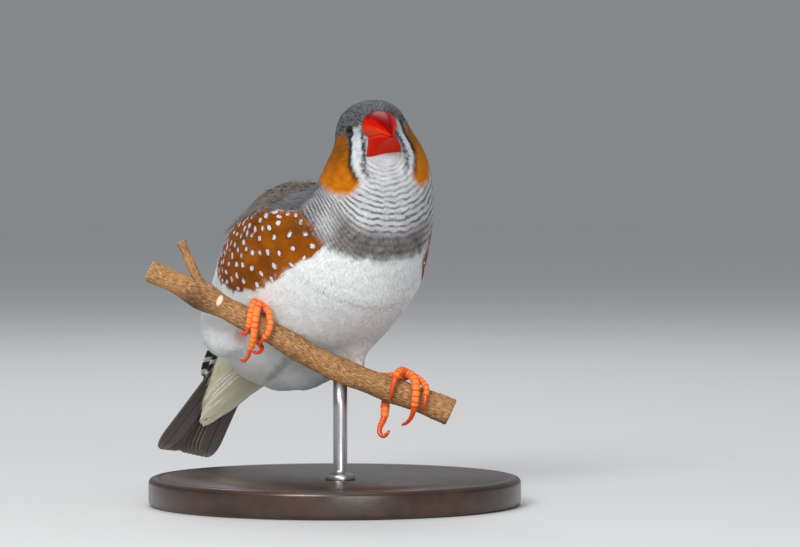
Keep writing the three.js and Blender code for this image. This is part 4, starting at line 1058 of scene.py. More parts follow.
def wing_arm_rings(side):
    """The sheet under the coverts that the feathers of the wing stand in."""
    rings = []
    for t in np.linspace(0, 1, 12):
        along = lerp(WING_FRONT - 1, -17, t)
        lower, upper = wing_edges(along)
        reach = max(1 - (2 * t - 1) ** 6, 0.05) ** 0.5
        x = np.linspace(-1, 1, 13)
        round_ = lerp(lower + 5, upper - 5, 0.5 + x / 2 * reach)
        top = over_torso(side, along, round_, lerp(0.15, -1.5, t ** 1.5) - 0.9 * x ** 2)
        low = over_torso(side, along, round_[::-1], -2.8)
        rings.append(np.concatenate([top, low[1:-1]]))
    return np.array(rings)


TAIL = {"root": -30, "length": 41, "pairs": 6, "width": 5.2, "step": 0.38, "top": -9.6, "spread": 4.2, "foot": 1.6,
        "parting": 1.0}


def tail_bundle():
    tail = Feathers(4)
    for side in (-1, 1):
        for i in range(TAIL["pairs"]):
            share = i / (TAIL["pairs"] - 1)
            tilt = math.radians(TAIL["spread"] * share)
            q = np.linspace(0, 1, 26)
            reach = TAIL["length"] * lerp(1, 0.965, share) * q
            spine = TORSO.at(side * (0.3 + TAIL["foot"] * share + reach * math.sin(tilt) + TAIL["parting"] * q * q),
                             TAIL["top"] + TAIL["step"] * i + (0.08 if side > 0 else 0) + 0.4 * q * q,
                             TAIL["root"] - reach * math.cos(tilt))
            up = np.broadcast_to(-TORSO.front, spine.shape)
            shaft = 0.5 - side * 0.1 * share
            tail.feather(spine, up, TAIL["width"], shaft=shaft, camber=0.2, thick=0.15, slant=-side * 0.03,
                         tip=0.86, root=0.55, sharp=0.42)
    return tail


# Rows of coverts: count, half spread, narrowing to the tips, root, length, width, height at root and tip, side shown
COVERTS_ABOVE = [(6, 5.6, 0.76, -25, 27, 3.9, -11.8, -11.1, -1), (5, 4.2, 0.7, -23.5, 22, 3.9, -12.2, -11.5, -1),
                 (5, 3.4, 0.6, -27, 28, 4.2, -11.4, -10.9, -1), (6, 5.0, 0.8, -21, 15, 3.8, -12.4, -12.0, -1)]
COVERTS_BELOW = [(6, 4.4, 0.6, -28, 25, 4.4, 3.6, -5.6, 1), (5, 3.4, 0.6, -31, 27, 4.4, 2.6, -6.6, 1),
                 (4, 2.4, 0.6, -33, 26.5, 4.2, 1.6, -7.0, 1)]


def covert_rows(bundle, rows, rng):
    for count, spread, narrowing, root, length, width, front_root, front_tip, shown in rows:
        for i in range(count):
            t = 2 * i / (count - 1) - 1
            q = np.linspace(0, 1, 12)
            reach = length * (1 - 0.16 * t * t) * rng.uniform(0.96, 1.04)
            height = lerp(front_root, front_tip, q) - 0.5 * shown * t * t + 0.06 * shown * (i % 2)
            spine = TORSO.at(t * spread * lerp(1, narrowing, q), height, root - reach * q)
            up = np.broadcast_to(TORSO.front * shown, spine.shape)
            bundle.feather(spine, up, width * rng.uniform(0.94, 1.06), camber=0.35, thick=0.18, tip=0.6,
                           root=0.6, sharp=0.55)


def undertail_hide():
    """The soft wedge under the tail, from the vent to its point."""
    q = np.linspace(0, 1, 60)[:, None]
    angle = np.linspace(0, TAU, 73)[None, :]
    half = lerp(9.2, 2.2, q ** 1.15) * (1 - 0.9 * ease(q, 0.9, 1.0))
    front, back = lerp(9.6, 1.3, q ** 0.85) * (1 - 0.8 * ease(q, 0.9, 1.0)), lerp(5.0, 0.7, q)
    middle = lerp(-3.4, -7.0, q)
    reach = np.where(np.sin(angle) > 0, front, back)
    points = TORSO.at(half * np.cos(angle), middle + reach * np.sin(angle), -24 - 31.5 * q)
    return Hide(points, lambda p, n: np.broadcast_to(-TORSO.up, p.shape))


# Bill and eyes

BILL_BASE, BILL_TUCK = 4.9, math.radians(40)
# Rows along each half: forward, gape, half width at the gape, half width at the widest, depth
BILL_UPPER = [(0, -1.7, 3.75, 3.75, 5.3), (2, -1.6, 3.5, 3.5, 4.9), (4.2, -1.55, 2.85, 2.85, 4), (6.4, -1.6, 2, 2, 2.8),
              (8.2, -1.85, 1.05, 1.05, 1.55), (9.3, -2.3, 0.4, 0.4, 0.6)]
BILL_LOWER = [(-0.6, -1.76, 2.9, 4.7, -4.8), (1.4, -1.66, 2.75, 4.3, -4), (3.8, -1.61, 2.3, 3.1, -2.6),
              (6, -1.66, 1.55, 1.9, -1.6), (8, -1.95, 0.7, 0.8, -0.75)]


def bill_section(row, share):
    """Across and up along one ring of the bill: the upper half is round, the lower a trough."""
    _, gape, half, wide, depth = row
    if depth > 0:
        angle, tuck = lerp(-BILL_TUCK, math.pi + BILL_TUCK, share), math.sin(BILL_TUCK)
        return half * np.cos(angle), gape + depth * (np.sin(angle) + tuck) / (1 + tuck)
    across, down = np.cos(math.pi * share), np.maximum(np.sin(math.pi * share), 0)
    return lerp(half, wide, down ** 0.7) * np.sign(across) * np.abs(across) ** 0.3, gape + depth * down ** 0.45


def inside_bill(left, up):
    """Whether a place on the face lies behind the bill's base."""
    rise = (up + 1.65) / 5.1
    swell = np.clip(rise * (1 + math.sin(BILL_TUCK)) - math.sin(BILL_TUCK), -1, 1)
    upper = (rise >= 0) & (rise < 0.98) & (np.abs(left) < 3.55 * np.sqrt(1 - swell ** 2))
    fall = (-1.65 - up) / 4.1
    lower = (fall > 0) & (fall < 0.8 + 0.22 * (left / 3.6) ** 2) & (np.abs(left) < lerp(2.7, 3.9, np.clip(fall, 0, 1)))
    return upper | lower


def bill_rows(table, steps):
    return through(np.array(table, float), np.linspace(0, len(table) - 1, steps))


def bill_rings(table, steps):
    """Rings of one half, closed along the gape by a floor with a shallow groove."""
    x, rings = np.linspace(-1, 1, 19)[1:-1], []
    for row in bill_rows(table, steps):
        across, up = bill_section(row, np.linspace(0, 1, 49))
        floor_up = row[1] + np.sign(row[4]) * 0.12 * (1 - x ** 2)
        rings.append(np.concatenate([FACE.at(across, BILL_BASE + row[0], up),
                                     FACE.at(across[0] * x * np.sign(across[0]), BILL_BASE + row[0], floor_up)]))
    return np.array(rings)


def bill_material(name, deep, bright):
    """Waxy horn with growth lines, deeper on top, with a painted highlight along the gape."""
    made, sh, skin = material(name, roughness=0.4, Specular_IOR_Level=0.04, Subsurface_Weight=0.08,
                              Subsurface_Scale=0.0015)
    skin.inputs["Subsurface Radius"].default_value = (1.0, 0.25, 0.1)
    top, cloud = sh.number("bill_top"), sh.noise(420.0, 4.0)
    share = sh.plus(sh.ramp(top, 0.15, 0.95), sh.times(sh.minus(cloud, 0.5), 0.5))
    # Painted highlight: pale orange along the gape's edge
    pale = sh.times(sh.ramp(top, 0.0, 0.14, 1.0, 0.0), 0.5)
    body = sh.mix(pale, sh.mix(share, bright, deep), linear(236, 84, 46))
    growth = sh.math("SINE", sh.scaled(sh.number("bill_t"), 70.0, sh.times(cloud, 9.0)))
    colour, _ = sh.mottled(sh.bright(body, sh.scaled(growth, 0.012, 1.0)), 700.0, 0.22)
    sh.feed(skin.inputs["Roughness"], sh.scaled(sh.noise(1800.0, 3.0), 0.2, 0.22))
    sh.finish(skin, colour, sh.plus(sh.times(growth, 0.06), cloud), 0.00005, 0.35)
    return made


def eye_material():
    """A wet, dark iris round a black pupil."""
    made, sh, skin = material("eye_ball", roughness=0.06, Coat_Weight=0.5, Coat_Roughness=0.02, Specular_IOR_Level=0.5)
    ring = sh.number("iris")
    iris = sh.mix(sh.noise(1500.0, 4.0), linear(10, 4, 3), linear(34, 12, 7))
    colour = sh.mix(sh.ramp(ring, 0.46, 0.54), (0.002, 0.002, 0.002), iris)
    sh.feed(skin.inputs["Base Color"], sh.mix(sh.ramp(ring, 0.86, 0.98), colour, (0.004, 0.003, 0.003)))
    return made


# Perch and feet

# Places along the branch, and its radius at the ends
BRANCH = {"from": -43.5, "to": 27.5, "thin": 2.25, "thick": 2.8}
SCAR_RUN, ROD_RUN = -27.2, 1.4


def branch_radius(run):
    return (lerp(BRANCH["thin"], BRANCH["thick"], (run - BRANCH["from"]) / (BRANCH["to"] - BRANCH["from"]))
            + 0.65 * np.exp(-(((run + 31.5) / 4.5) ** 2)) + 0.12 * np.sin(run * 0.55))


def branch_bend(run):
    return -1.95 * np.exp(-(((run - 1.5) / np.where(run < 1.5, 20, 15)) ** 2))


def off_branch(point, radius):
    """A point of a path in the perch's frame, kept clear of the bark by its own radius."""
    run, up, front = point
    rise = up - branch_bend(run)
    far = math.hypot(rise, front)
    least = branch_radius(run) * 1.03 + radius + 0.2
    push = least / far if far < least else 1
    return on_perch(run, branch_bend(run) + rise * push, front * push)


FEET = {
    "right": {
        "shank": [(-20.3, -5.6, -12.6), (-20.2, -1.2, -7.6), (-19.6, 2.9, -2.4)], "pad": (-19.4, 3.4, -1.1),
        "inner": ([(-20.2, 3.5, -0.5), (-20.5, 3.0, 2.0), (-19.9, 0.4, 3.7), (-19.2, -1.9, 3.2)],
                  [(-19.1, -2.5, 2.9), (-19.2, -3.6, 2.1), (-19.8, -3.7, 1.4), (-20.4, -3.2, 1.2)], 0.74),
        "middle": ([(-19.3, 3.6, -0.2), (-19.3, 2.7, 2.6), (-18.6, 0.3, 3.8), (-17.6, -2.6, 3.4), (-17, -4.8, 2.4),
                    (-16.9, -6, 1.7)], [(-16.8, -6.6, 1.4), (-16.7, -7.9, 0.7), (-17.1, -9, 0), (-18, -9, -0.5)], 0.85),
        "outer": ([(-18.6, 3.5, -0.3), (-16.9, 2.9, 2.2), (-15.4, 0.9, 3.7), (-15, -1.2, 3.6), (-15.3, -2.5, 2.9)],
                  [(-15.4, -3.1, 2.5), (-15.8, -4.1, 1.6), (-16.3, -4.4, 0.6)], 0.76),
        "hind": ([(-19.2, 3.0, -2.2), (-18.4, 0.6, -4.0), (-17, -2.2, -3.6), (-15.9, -3.9, -2)],
                 [(-15.6, -4.3, -1.5), (-14.7, -4.9, 0.1), (-15.1, -6, 1.2), (-16.3, -6.3, 1.6)], 0.9),
    },
    "left": {
        "shank": [(7.2, -1.2, -11), (12, 0.8, -6.2), (15.1, 2.9, -2.4)], "pad": (15.6, 3.4, -1.1),
        "inner": ([(15, 3.5, -0.7), (14.2, 3.6, 0.8), (13.6, 2.9, 2.6), (13.5, 1.8, 3.6)],
                  [(13.6, 1.1, 3.9), (13.9, -0.4, 3.9), (14.3, -1.9, 3.3), (14.6, -2.9, 2.6)], 0.86),
        "middle": ([(15.9, 3.6, -0.1), (17.3, 3.2, 2.0), (18.3, 1.9, 3.4), (19.1, 0, 3.9), (19.8, -2.1, 3.5)],
                   [(20, -2.8, 3.2), (20.2, -4.3, 2.4), (19.9, -5.8, 1.6), (19.1, -6.9, 1.1)], 0.95),
        "outer": ([(16.3, 3.5, -0.9), (18.4, 3.5, 0.6), (20.3, 2.7, 2.6), (21, 1.1, 3.7)],
                  [(21.2, 0.4, 4), (21.6, -0.9, 3.8), (21.8, -2.1, 3.2)], 0.72),
        "hind": ([(15.4, 3, -2.2), (14.5, 0.4, -4.2), (14, -2.4, -3.9), (14.2, -4.5, -2.8), (14.8, -6, -2),
                  (15.2, -7.1, -1.4)], [(15.2, -7.8, -1.1), (15.2, -9.3, -0.4), (15.7, -10.5, 0.2), (16.8, -10.6, 0.6),
                                        (17.3, -9, 0.8)], 1.05),
    },
}
TOES = ("inner", "middle", "outer", "hind")
SHIN_SCUTES = 9
THIGHS = {
    "right": ([(-21.9, -1.2, -20.6), (-23.2, -5.6, -16.2), (-20.8, -6, -11.6)], 7.9, 2.2),
    "left": ([(-2, 8, -15), (1, 3, -12), (4.6, 0, -10.6)], 5.0, 2.0),
}


def scute_ring(t, angle, count, depth):
    """Scale plates over the top of a toe: each rises towards its front edge and steps down to the next."""
    saw = np.mod(t * count, 1)
    plate = saw ** 0.7 * (1 - ease(saw, 0.86, 1.0))
    top = ease(np.sin(angle), -0.25, 0.45)
    pebble = 0.35 * np.sin(angle * 9 + np.floor(t * count * 2) * 1.7) * (1 - top)
    return 1 + depth * (plate * top + pebble * 0.6)


def outward(line):
    """The direction away from the branch's middle at the start of a line."""
    run = PERCH.local(line[0])[0]
    return unit(line[0] - on_perch(run, branch_bend(run), 0))


def thigh_hide(side):
    path, wide, narrow = THIGHS[side]
    line, _ = curve_points([on_perch(*p) for p in path], 40)
    rings = tube_rings(line, (0, 0, 1), lambda t, a: lerp(wide, narrow, t ** 1.6) + 0 * a, 48)
    points = np.concatenate([rings, rings[:, :1]], 1)
    run = unit(np.gradient(line, axis=0))
    return Hide(points, lambda p, n: np.broadcast_to(run[:, None], p.shape))


# Settings

def shade(name, description, *rgb):
    return bpy.props.FloatVectorProperty(name=name, description=description, size=3, min=0, max=1, subtype="COLOR",
                                         default=tuple(float(v) for v in linear(*rgb)))


class FinchCoatSettings(bpy.types.PropertyGroup):
    """Colours and size of the body feathers."""
    belly: shade("Belly", "White of the belly", 238, 240, 240)
    back: shade("Back", "Grey-brown of the mantle", 106, 98, 91)
    crown: shade("Crown", "Blue-grey of crown and nape", 92, 93, 97)
    throat: shade("Throat", "Pale grey between the throat's bars", 203, 206, 209)
    cheek: shade("Cheek", "Orange of the ear patch", 196, 114, 0)
    flank: shade("Flank", "Chestnut of the flanks", 150, 80, 2)
    density: bpy.props.FloatProperty(name="Density", description="Tufts for each tuft of the standard coat", default=1,
                                     min=0.05, max=1.5, subtype="FACTOR")
    spot_spacing: bpy.props.FloatProperty(name="Spot spacing", description="Distance between the flank's white spots",
                                          default=0.0024, min=0.001, max=0.01, unit="LENGTH")
    spot_seed: bpy.props.IntProperty(name="Spot seed", description="Seed for the places of the spots", default=7, min=0)


class FinchPlumeSettings(bpy.types.PropertyGroup):
    """Colours of the wings, tail and coverts."""
    wing: shade("Wing", "Grey-brown of the flight feathers", 92, 82, 75)
    wing_edge: shade("Wing edge", "Paler edge of each feather", 172, 162, 151)
    tail: shade("Tail", "Black-brown of the tail", 80, 69, 63)
    cream: shade("Undertail", "Cream under the tail", 226, 220, 190)


class FinchFaceSettings(bpy.types.PropertyGroup):
    """Colours of the bill and lids."""
    bill_top: shade("Upper bill", "Deep red along the culmen", 122, 0, 0)
    bill_side: shade("Bill side", "Orange-red of the sides and the lower bill", 190, 18, 0)
    lid: shade("Lid", "Bare skin round the eye", 92, 84, 80)


class FinchLegSettings(bpy.types.PropertyGroup):
    """Colours of legs and claws."""
    skin: shade("Leg", "Orange skin of the feet", 236, 82, 0)
    claw: shade("Claw", "Horn of the claws", 232, 84, 6)
    scutes: bpy.props.IntProperty(name="Scutes", description="Scales along a middle toe", default=11, min=3, max=30)


class FinchStandSettings(bpy.types.PropertyGroup):
    """Colours of perch and stand."""
    bark: shade("Bark", "Mid-brown of the bark", 192, 142, 94)
    wood: shade("Base", "Dark stained wood of the base", 66, 42, 28)
    pores: bpy.props.IntProperty(name="Pores", description="Pale pores on the bark", default=150, min=0, max=600)
    pore_seed: bpy.props.IntProperty(name="Pore seed", description="Seed for the places of the pores", default=3, min=0)


class FinchStageSettings(bpy.types.PropertyGroup):
    """Camera and light."""
    azimuth: bpy.props.FloatProperty(name="Azimuth", description="Camera's turn", default=math.radians(-27),
                                     subtype="ANGLE")
    elevation: bpy.props.FloatProperty(name="Elevation", description="Camera's rise over the horizon",
                                       default=math.radians(2), subtype="ANGLE")
    distance: bpy.props.FloatProperty(name="Distance", description="From the camera to what it looks at", default=1.0,
                                      min=0.1, unit="LENGTH")
    light: bpy.props.FloatProperty(name="Light", description="Strength of the studio lights", default=1.0, min=0)


# Operators

class FINCH_OT_skin(bpy.types.Operator):
    """One skin over torso, neck, head and thighs, a coat's depth inside them"""
    bl_idname = "finch.skin"
    bl_label = "Skin"

    def execute(self, context):
        settings = context.scene.finch_coat
        hide = body_hide()
        r, c = hide.grid()
        s, _ = body_coords(r, c)
        inset = lerp(0.32, 0.16, ease(s, 9.0, 11.2))[..., None]
        shell = hide.points - hide.normals * inset
        bundle = Bundle()
        bundle.add(shell[::6, :-1:3])
        for side in ("right", "left"):
            thigh = thigh_hide(side)
            bundle.add((thigh.points - thigh.normals * 0.7)[::3, :-1:3])
        thing = added("skin_making", bundle.mesh("skin"))
        remesh, relax = thing.modifiers.new("One skin", "REMESH"), thing.modifiers.new("Relax", "SMOOTH")
        remesh.mode, remesh.voxel_size = "VOXEL", 0.00055
        relax.factor, relax.iterations = 0.5, 3
        made = settled(thing, "skin")
        points = np.zeros(len(made.vertices) * 3)
        made.vertices.foreach_get("co", points)
        points = clear_of_perch(points.reshape(-1, 3) / MM)
        made.vertices.foreach_set("co", (points * MM).ravel())
        made.polygons.foreach_set("use_smooth", np.ones(len(made.polygons), bool))
        coarse = (slice(None, None, 4), slice(None, -1, 4))
        own = nearest(hide.points[coarse].reshape(-1, 3), points)
        rr, cc = r[coarse].ravel()[own], c[coarse].ravel()[own]
        ss, aa = body_coords(rr, cc)
        tint, numbers = plumage(points, ss, aa, settings, np.zeros(len(points)))
        # Painted shade: the skin's markings a tenth darker, where it shows between the tufts
        put_colour(made, "Tint", tint * 0.9)
        for key, values in (numbers | spot_numbers(points, ss, aa, settings)).items():
            put_number(made, key, values)
        uv = np.stack([0.02 + 0.96 * cc / BODY_COLS, 0.02 + 0.96 * rr / (LAST * BODY_ROWS)], 1)
        put_uv(made, "OFBake", uv)
        piece("skin", made, plumage_material(), "plumage_body", "torso", "neck", "head", "thigh_right", "thigh_left")
        return {"FINISHED"}


# Pieces of the coat: name and where each lies, by station, degrees round from the front and side
COAT_REGIONS = [
    ("coat_face", lambda s, a, w: (s >= 10.9) & (a < 70)),
    ("coat_crown", lambda s, a, w: (s >= 10.9) & (a >= 70)),
    ("coat_throat", lambda s, a, w: (s < 10.9) & (s >= 8.95) & (a < 80)),
    ("coat_nape", lambda s, a, w: (s < 10.9) & (s >= 8.95) & (a >= 80)),
    ("coat_breast", lambda s, a, w: (s < 8.95) & (s >= 7.2) & (a < 80)),
    ("coat_belly", lambda s, a, w: (s < 7.2) & (s >= 5.2) & (a < 80)),
    ("coat_lower_belly", lambda s, a, w: (s < 5.2) & (a < 80)),
    ("coat_flank_right", lambda s, a, w: (s < 8.95) & (s >= 4.2) & (a >= 80) & (w < 0)),
    ("coat_flank_left", lambda s, a, w: (s < 8.95) & (s >= 4.2) & (a >= 80) & (w > 0)),
    ("coat_rump", lambda s, a, w: (s < 4.2) & (a >= 80)),
]


def fuzz_look(settings):
    """Loose thin strands that stand up along the top edge of the right flank."""
    def strip(s, a, w):
        edge = flank_distance(a, s, w < 0)
        near = ease(edge, -0.3, 0.3) * ease(2.6 - edge, 0, 0.8)
        return near * (s > 5.9) * (s < 8.9) * (a > 84) * (a < 126) * (w < 0)

    look = body_look(settings, strip)
    fine = simple_look(linear(122, 116, 110), 1.0, 2.9, 0.09, lift=1.25, depth=0.4)
    fine["density"] = lambda r, c: look["density"](r, c) * 0.55
    return fine


class FINCH_OT_coat(bpy.types.Operator):
    """Body feathers: overlapping tufts that lie from the bill to the tail and carry the markings"""
    bl_idname = "finch.coat"
    bl_label = "Coat"

    def execute(self, context):
        settings = context.scene.finch_coat
        for i, (name, region) in enumerate(COAT_REGIONS):
            coat_piece(name, body_hide(), body_look(settings, region), 20 + i)
        coat_piece("coat_fuzz", body_hide(), fuzz_look(settings), 38)
        for i, side in enumerate(("right", "left")):
            look = simple_look(np.array(settings.belly) * (0.97, 0.96, 0.9), 9 * settings.density, 2.4, 0.38)
            coat_piece("coat_thigh_" + side, thigh_hide(side), look, 40 + i)
        return {"FINISHED"}


def coat_piece(name, hide, look, seed, slot="plumage_body"):
    piece(name, grow_coat(name, hide, look, seed), plumage_material(), slot)


def simple_look(colour, density, length, width, lift=0.35, depth=0.7, pitch=3.0):
    """A plain coat of one colour over a hide."""
    def paint(r, c, tone, x, y, t):
        tint = np.broadcast_to(colour, (len(r), 3)) * (1 + 0.05 * tone)[:, None]
        return np.clip(tint, 0, 0.95), {key: np.full(len(r), value) for key, value in PLAIN_NUMBERS.items()}

    sizes = {"density": density, "length": length, "width": width, "lift": lift, "depth": depth, "pitch": pitch}
    look = {key: lambda r, c, value=value: np.full(np.shape(r), value) for key, value in sizes.items()}
    return look | {"colour": paint}


class FINCH_OT_wings(bpy.types.Operator):
    """Folded wings: flight feathers under tiers of coverts"""
    bl_idname = "finch.wings"
    bl_label = "Wings"

    def execute(self, context):
        plume = context.scene.finch_plume
        look = feather_material("wing_feather", plume.wing, plume.wing_edge, linear(70, 60, 54))
        for side, name in ((-1, "right"), (1, "left")):
            wing = wing_bundle(side, 5 + side)
            wing.add(wing_arm_rings(side), vane_x=0.5, vane_t=0.5, barb=0.0, body_mm=0.0)
            wing.uv.append(np.full((wing.total - sum(len(u) for u in wing.uv), 2), 0.995))
            piece("wing_feathers_" + name, wing.piece_mesh("wing_" + name), look, "wing", "wing_" + name)
        return {"FINISHED"}


class FINCH_OT_tail(bpy.types.Operator):
    """Tail feathers with the coverts above and below them"""
    bl_idname = "finch.tail"
    bl_label = "Tail"

    def execute(self, context):
        plume = context.scene.finch_plume
        rng = np.random.default_rng(31)
        dark = feather_material("tail_feather", plume.tail, linear(116, 103, 96), linear(44, 36, 32), edge_width=0.16)
        piece("tail_feathers", tail_bundle().piece_mesh("tail"), dark, "tail", "tail")
        barred = feather_material("barred_covert", linear(44, 40, 40), linear(74, 70, 70), linear(30, 26, 26),
                                  bars=(3.7, 0.17, linear(232, 232, 230)))
        cream = feather_material("cream_covert", plume.cream, linear(236, 234, 220), linear(206, 200, 176),
                                 edge_width=0.3, roughness=0.75, ribs=0.02)
        for name, table, look, node in (("coverts_above", COVERTS_ABOVE, barred, "tail_coverts_upper"),
                                        ("coverts_below", COVERTS_BELOW, cream, "tail_coverts_under")):
            coverts = Feathers(5)
            covert_rows(coverts, table, rng)
            piece(name, coverts.piece_mesh(name), look, "coverts", node)
        hide = undertail_hide()
        wedge = Bundle()
        wedge.add((hide.points - hide.normals * 0.7)[::2, :-1:2])
        core = wedge.mesh("undertail_core")
        count = len(core.vertices)
        # Painted shade: the core under the undertail's tufts takes a darker cream
        put_colour(core, "Tint", np.broadcast_to(np.array(plume.cream) * 0.85, (count, 3)))
        for key, value in PLAIN_NUMBERS.items():
            put_number(core, key, np.full(count, value))
        put_uv(core, "OFBake", np.full((count, 2), 0.5))
        piece("undertail_core", core, plumage_material(), "coverts")
        look = simple_look(np.array(plume.cream), 8 * context.scene.finch_coat.density, 3.6, 0.36, lift=0.3, pitch=4.2)
        coat_piece("coat_undertail", hide, look, 50, "coverts")
        return {"FINISHED"}


class FINCH_OT_face(bpy.types.Operator):
    """Bill halves with their nostrils, eyes and lids"""
    bl_idname = "finch.face"
    bl_label = "Bill and eyes"

    def execute(self, context):
        face = context.scene.finch_face
        deep, bright = tuple(face.bill_top), tuple(face.bill_side)
        piece("bill_upper_horn", bill_half("bill_upper", BILL_UPPER, 40, 1),
              bill_material("bill_upper_horn", deep, bright), "bill", "bill_upper")
        piece("bill_lower_horn", bill_half("bill_lower", BILL_LOWER, 36, -1),
              bill_material("bill_lower_horn", linear(196, 32, 0), bright), "bill", "bill_lower")
        ball, lids = eye_material(), Bundle()
        for side, name in ((-1, "right"), (1, "left")):
            look = unit(FACE.front * math.cos(EYE_OUT) + FACE.left * side * math.sin(EYE_OUT))
            centre = FACE.at(side * EYE_SPOT["left"], EYE_SPOT["front"], EYE_SPOT["up"])
            aside = unit(np.cross(HEAD.up, look))
            over = np.cross(look, aside)
            piece("eye_ball_" + name, eye_mesh("eye_" + name, centre, look, aside, over), ball, "eye", "eye_" + name)
            sunk = math.sqrt(EYE_SPOT["radius"] ** 2 - EYE_SPOT["opening"] ** 2)
            add_lid(lids, centre + look * sunk, look, aside, over)
        lid_skin, sh, skin = material("lid_skin", roughness=0.7)
        sh.finish(skin, *sh.mottled(tuple(face.lid), 3000.0, 0.5), 0.00008, 0.8)
        piece("lids", lids.mesh("lids"), lid_skin, "plumage_body")
        return {"FINISHED"}


def bill_half(name, table, steps, sign):
    """One half of the bill, the upper one with its nostrils pressed in."""
    rings = bill_rings(table, steps)
    left, _, up = FACE.local(rings)
    rows = bill_rows(table, steps)
    gape, wide, depth = (rows[:, i:i + 1] for i in (1, 3, 4))
    top = np.clip(sign * (up - gape) / np.maximum(np.abs(depth), 0.3), 0, 1)
    top = top * ease(1.15 - np.abs(left) / np.maximum(wide, 0.2), 0, 0.75)
    if sign > 0:
        for side in (-1, 1):
            hole = FACE.at(side * 2.75, BILL_BASE + 2, 2.1)
            inward = unit(FACE.at(0, BILL_BASE + 2, 0.4) - hole)
            far = np.linalg.norm(rings - hole, axis=-1)
            rings = rings + (0.55 * np.exp(-(far / 0.5) ** 2))[..., None] * inward
    bundle = Bundle()
    bundle.add(rings, bill_top=top, bill_t=np.linspace(0, 1, steps)[:, None])
    return bundle.mesh(name)


def eye_mesh(name, centre, look, aside, over):
    """A ball with rings round the way it looks. iris runs from 0 at the pupil's middle past 1 at the iris's edge."""
    radius, turn = EYE_SPOT["radius"], np.linspace(0, math.pi, 26)[1:-1]
    angle = turns(48)
    rings = np.array([centre + look * radius * math.cos(a)
                      + radius * math.sin(a) * (np.cos(angle)[:, None] * aside + np.sin(angle)[:, None] * over)
                      for a in turn])
    eye = Bundle()
    eye.add(rings, iris=(radius * np.sin(turn) / 1.85 + (turn > math.pi / 2))[:, None])
    return eye.mesh(name)


def add_lid(lids, at, look, aside, over):
    """A beaded ring of bare skin round the eye's opening."""
    around, section = np.linspace(0, TAU, 60), turns(12)
    path = at + (EYE_SPOT["opening"] + 0.02) * (np.cos(around)[:, None] * aside * 1.02
                                                + np.sin(around)[:, None] * over * 0.97)
    bead = 0.24 + 0.035 * np.sin(around * 26)
    ring = (path[:, None] + (bead[:, None] * np.cos(section))[..., None] * unit(path - at)[:, None]
            + (bead[:, None] * np.sin(section))[..., None] * look)
    lids.add(ring[:-1], closed=True)


class FINCH_OT_feet(bpy.types.Operator):
    """Scaled shanks and toes, and curved claws"""
    bl_idname = "finch.feet"
    bl_label = "Feet"

    def execute(self, context):
        legs = context.scene.finch_legs
        scales, horn = leg_material(legs), claw_material(legs)
        for side, foot in FEET.items():
            toes = Bundle()
            for name in TOES:
                talon = add_toe(toes, foot[name], legs.scutes)
                piece(f"talon_{side}_{name}", talon.mesh(f"talon_{side}_{name}"), horn, "claw", f"claw_{side}_{name}")
            # The ball of the foot counts mostly as plate, so it takes a little of the painted highlight
            toes.add(pad_rings(foot["pad"]), plate=0.8)
            piece("toes_" + side, toes.mesh("toes_" + side), scales, "leg", "foot_" + side)
            shin = Bundle()
            line, _ = curve_points([off_branch(p, 0.8) for p in foot["shank"]], 90)
            shin.add(tube_rings(line, (0, -1, 0.3), shin_radius, 24), plate=plate_of(90, SHIN_SCUTES))
            piece("shin_" + side, shin.mesh("shin_" + side), scales, "leg", "shank_" + side)
        return {"FINISHED"}


def leg_material(legs):
    """Orange skin, darker in the seams between its scale plates, with a painted highlight on each plate."""
    made, sh, skin = material("leg_scales", roughness=0.4, Specular_IOR_Level=0.25, Subsurface_Weight=0.05,
                              Subsurface_Scale=0.0008)
    plate, tint = sh.number("plate"), np.array(legs.skin)
    colour = sh.mix(sh.ramp(plate, 0.0, 0.3), tint * (0.72, 0.42, 0.4), tint)
    # Painted highlight: pale orange over the middle of each scale plate
    colour = sh.mix(sh.times(sh.ramp(plate, 0.65, 1.0), 0.5), colour, linear(255, 166, 92))
    sh.finish(skin, *sh.mottled(colour, 1600.0, 0.24), 0.00007, 0.7)
    return made


def claw_material(legs):
    """Smooth horn that darkens to its tip."""
    made, sh, skin = material("claw_horn", roughness=0.28, Coat_Weight=0.2, Subsurface_Weight=0.2,
                              Subsurface_Scale=0.0008)
    t, tint = sh.number("claw_t"), np.array(legs.claw)
    colour, _ = sh.mottled(sh.mix(sh.ramp(t, 0.25, 1.0), tint, tint * (0.72, 0.5, 0.45)), 1500.0, 0.18)
    sh.finish(skin, colour, sh.math("SINE", sh.times(t, 60.0)), 0.00003, 0.4)
    return made


def plate_of(steps, count):
    """1 on each scale plate and 0 in the seam after it, along a toe or shin."""
    return 1 - ease(np.mod(np.linspace(0, 1, steps) * count, 1)[:, None], 0.8, 0.98)


def shin_radius(t, angle):
    return lerp(0.95, 0.75, np.sin(math.pi * t)) * scute_ring(t, angle, SHIN_SCUTES, 0.08)


def add_toe(toes, parts, scutes):
    """Adds one toe with pads under its joints and scale plates over it, and returns its claw."""
    path, claw, radius = parts
    line, far = curve_points([off_branch(p, radius) for p in path], 70)
    joints, count = len(path) - 1, max(4, round(scutes * far[-1] / 12))

    def girth(t, angle):
        pads = 1 + 0.1 * np.cos(TAU * t * joints) * ease(-np.sin(angle), -0.6, 0.8)
        end = 1 - 0.3 * ease(t, 0.95, 1.0)
        return radius * lerp(1.0, 0.84, t) * pads * end * scute_ring(t, angle, count, 0.13)

    def nail_radius(t, angle):
        blunt = np.sqrt(1 - 0.85 * ease(t, 0.9, 1))
        return radius * lerp(0.74, 0.37, t) * (1 - 0.12 * np.cos(angle) ** 2) * blunt

    toes.add(tube_rings(line, outward(line), girth, 24), plate=plate_of(70, count))
    nail, _ = curve_points([line[-4]] + [off_branch(p, radius * 0.6) for p in claw], 30)
    talon = Bundle()
    talon.add(tube_rings(nail, outward(line), nail_radius, 16), claw_t=np.linspace(0, 1, 30)[:, None])
    return talon


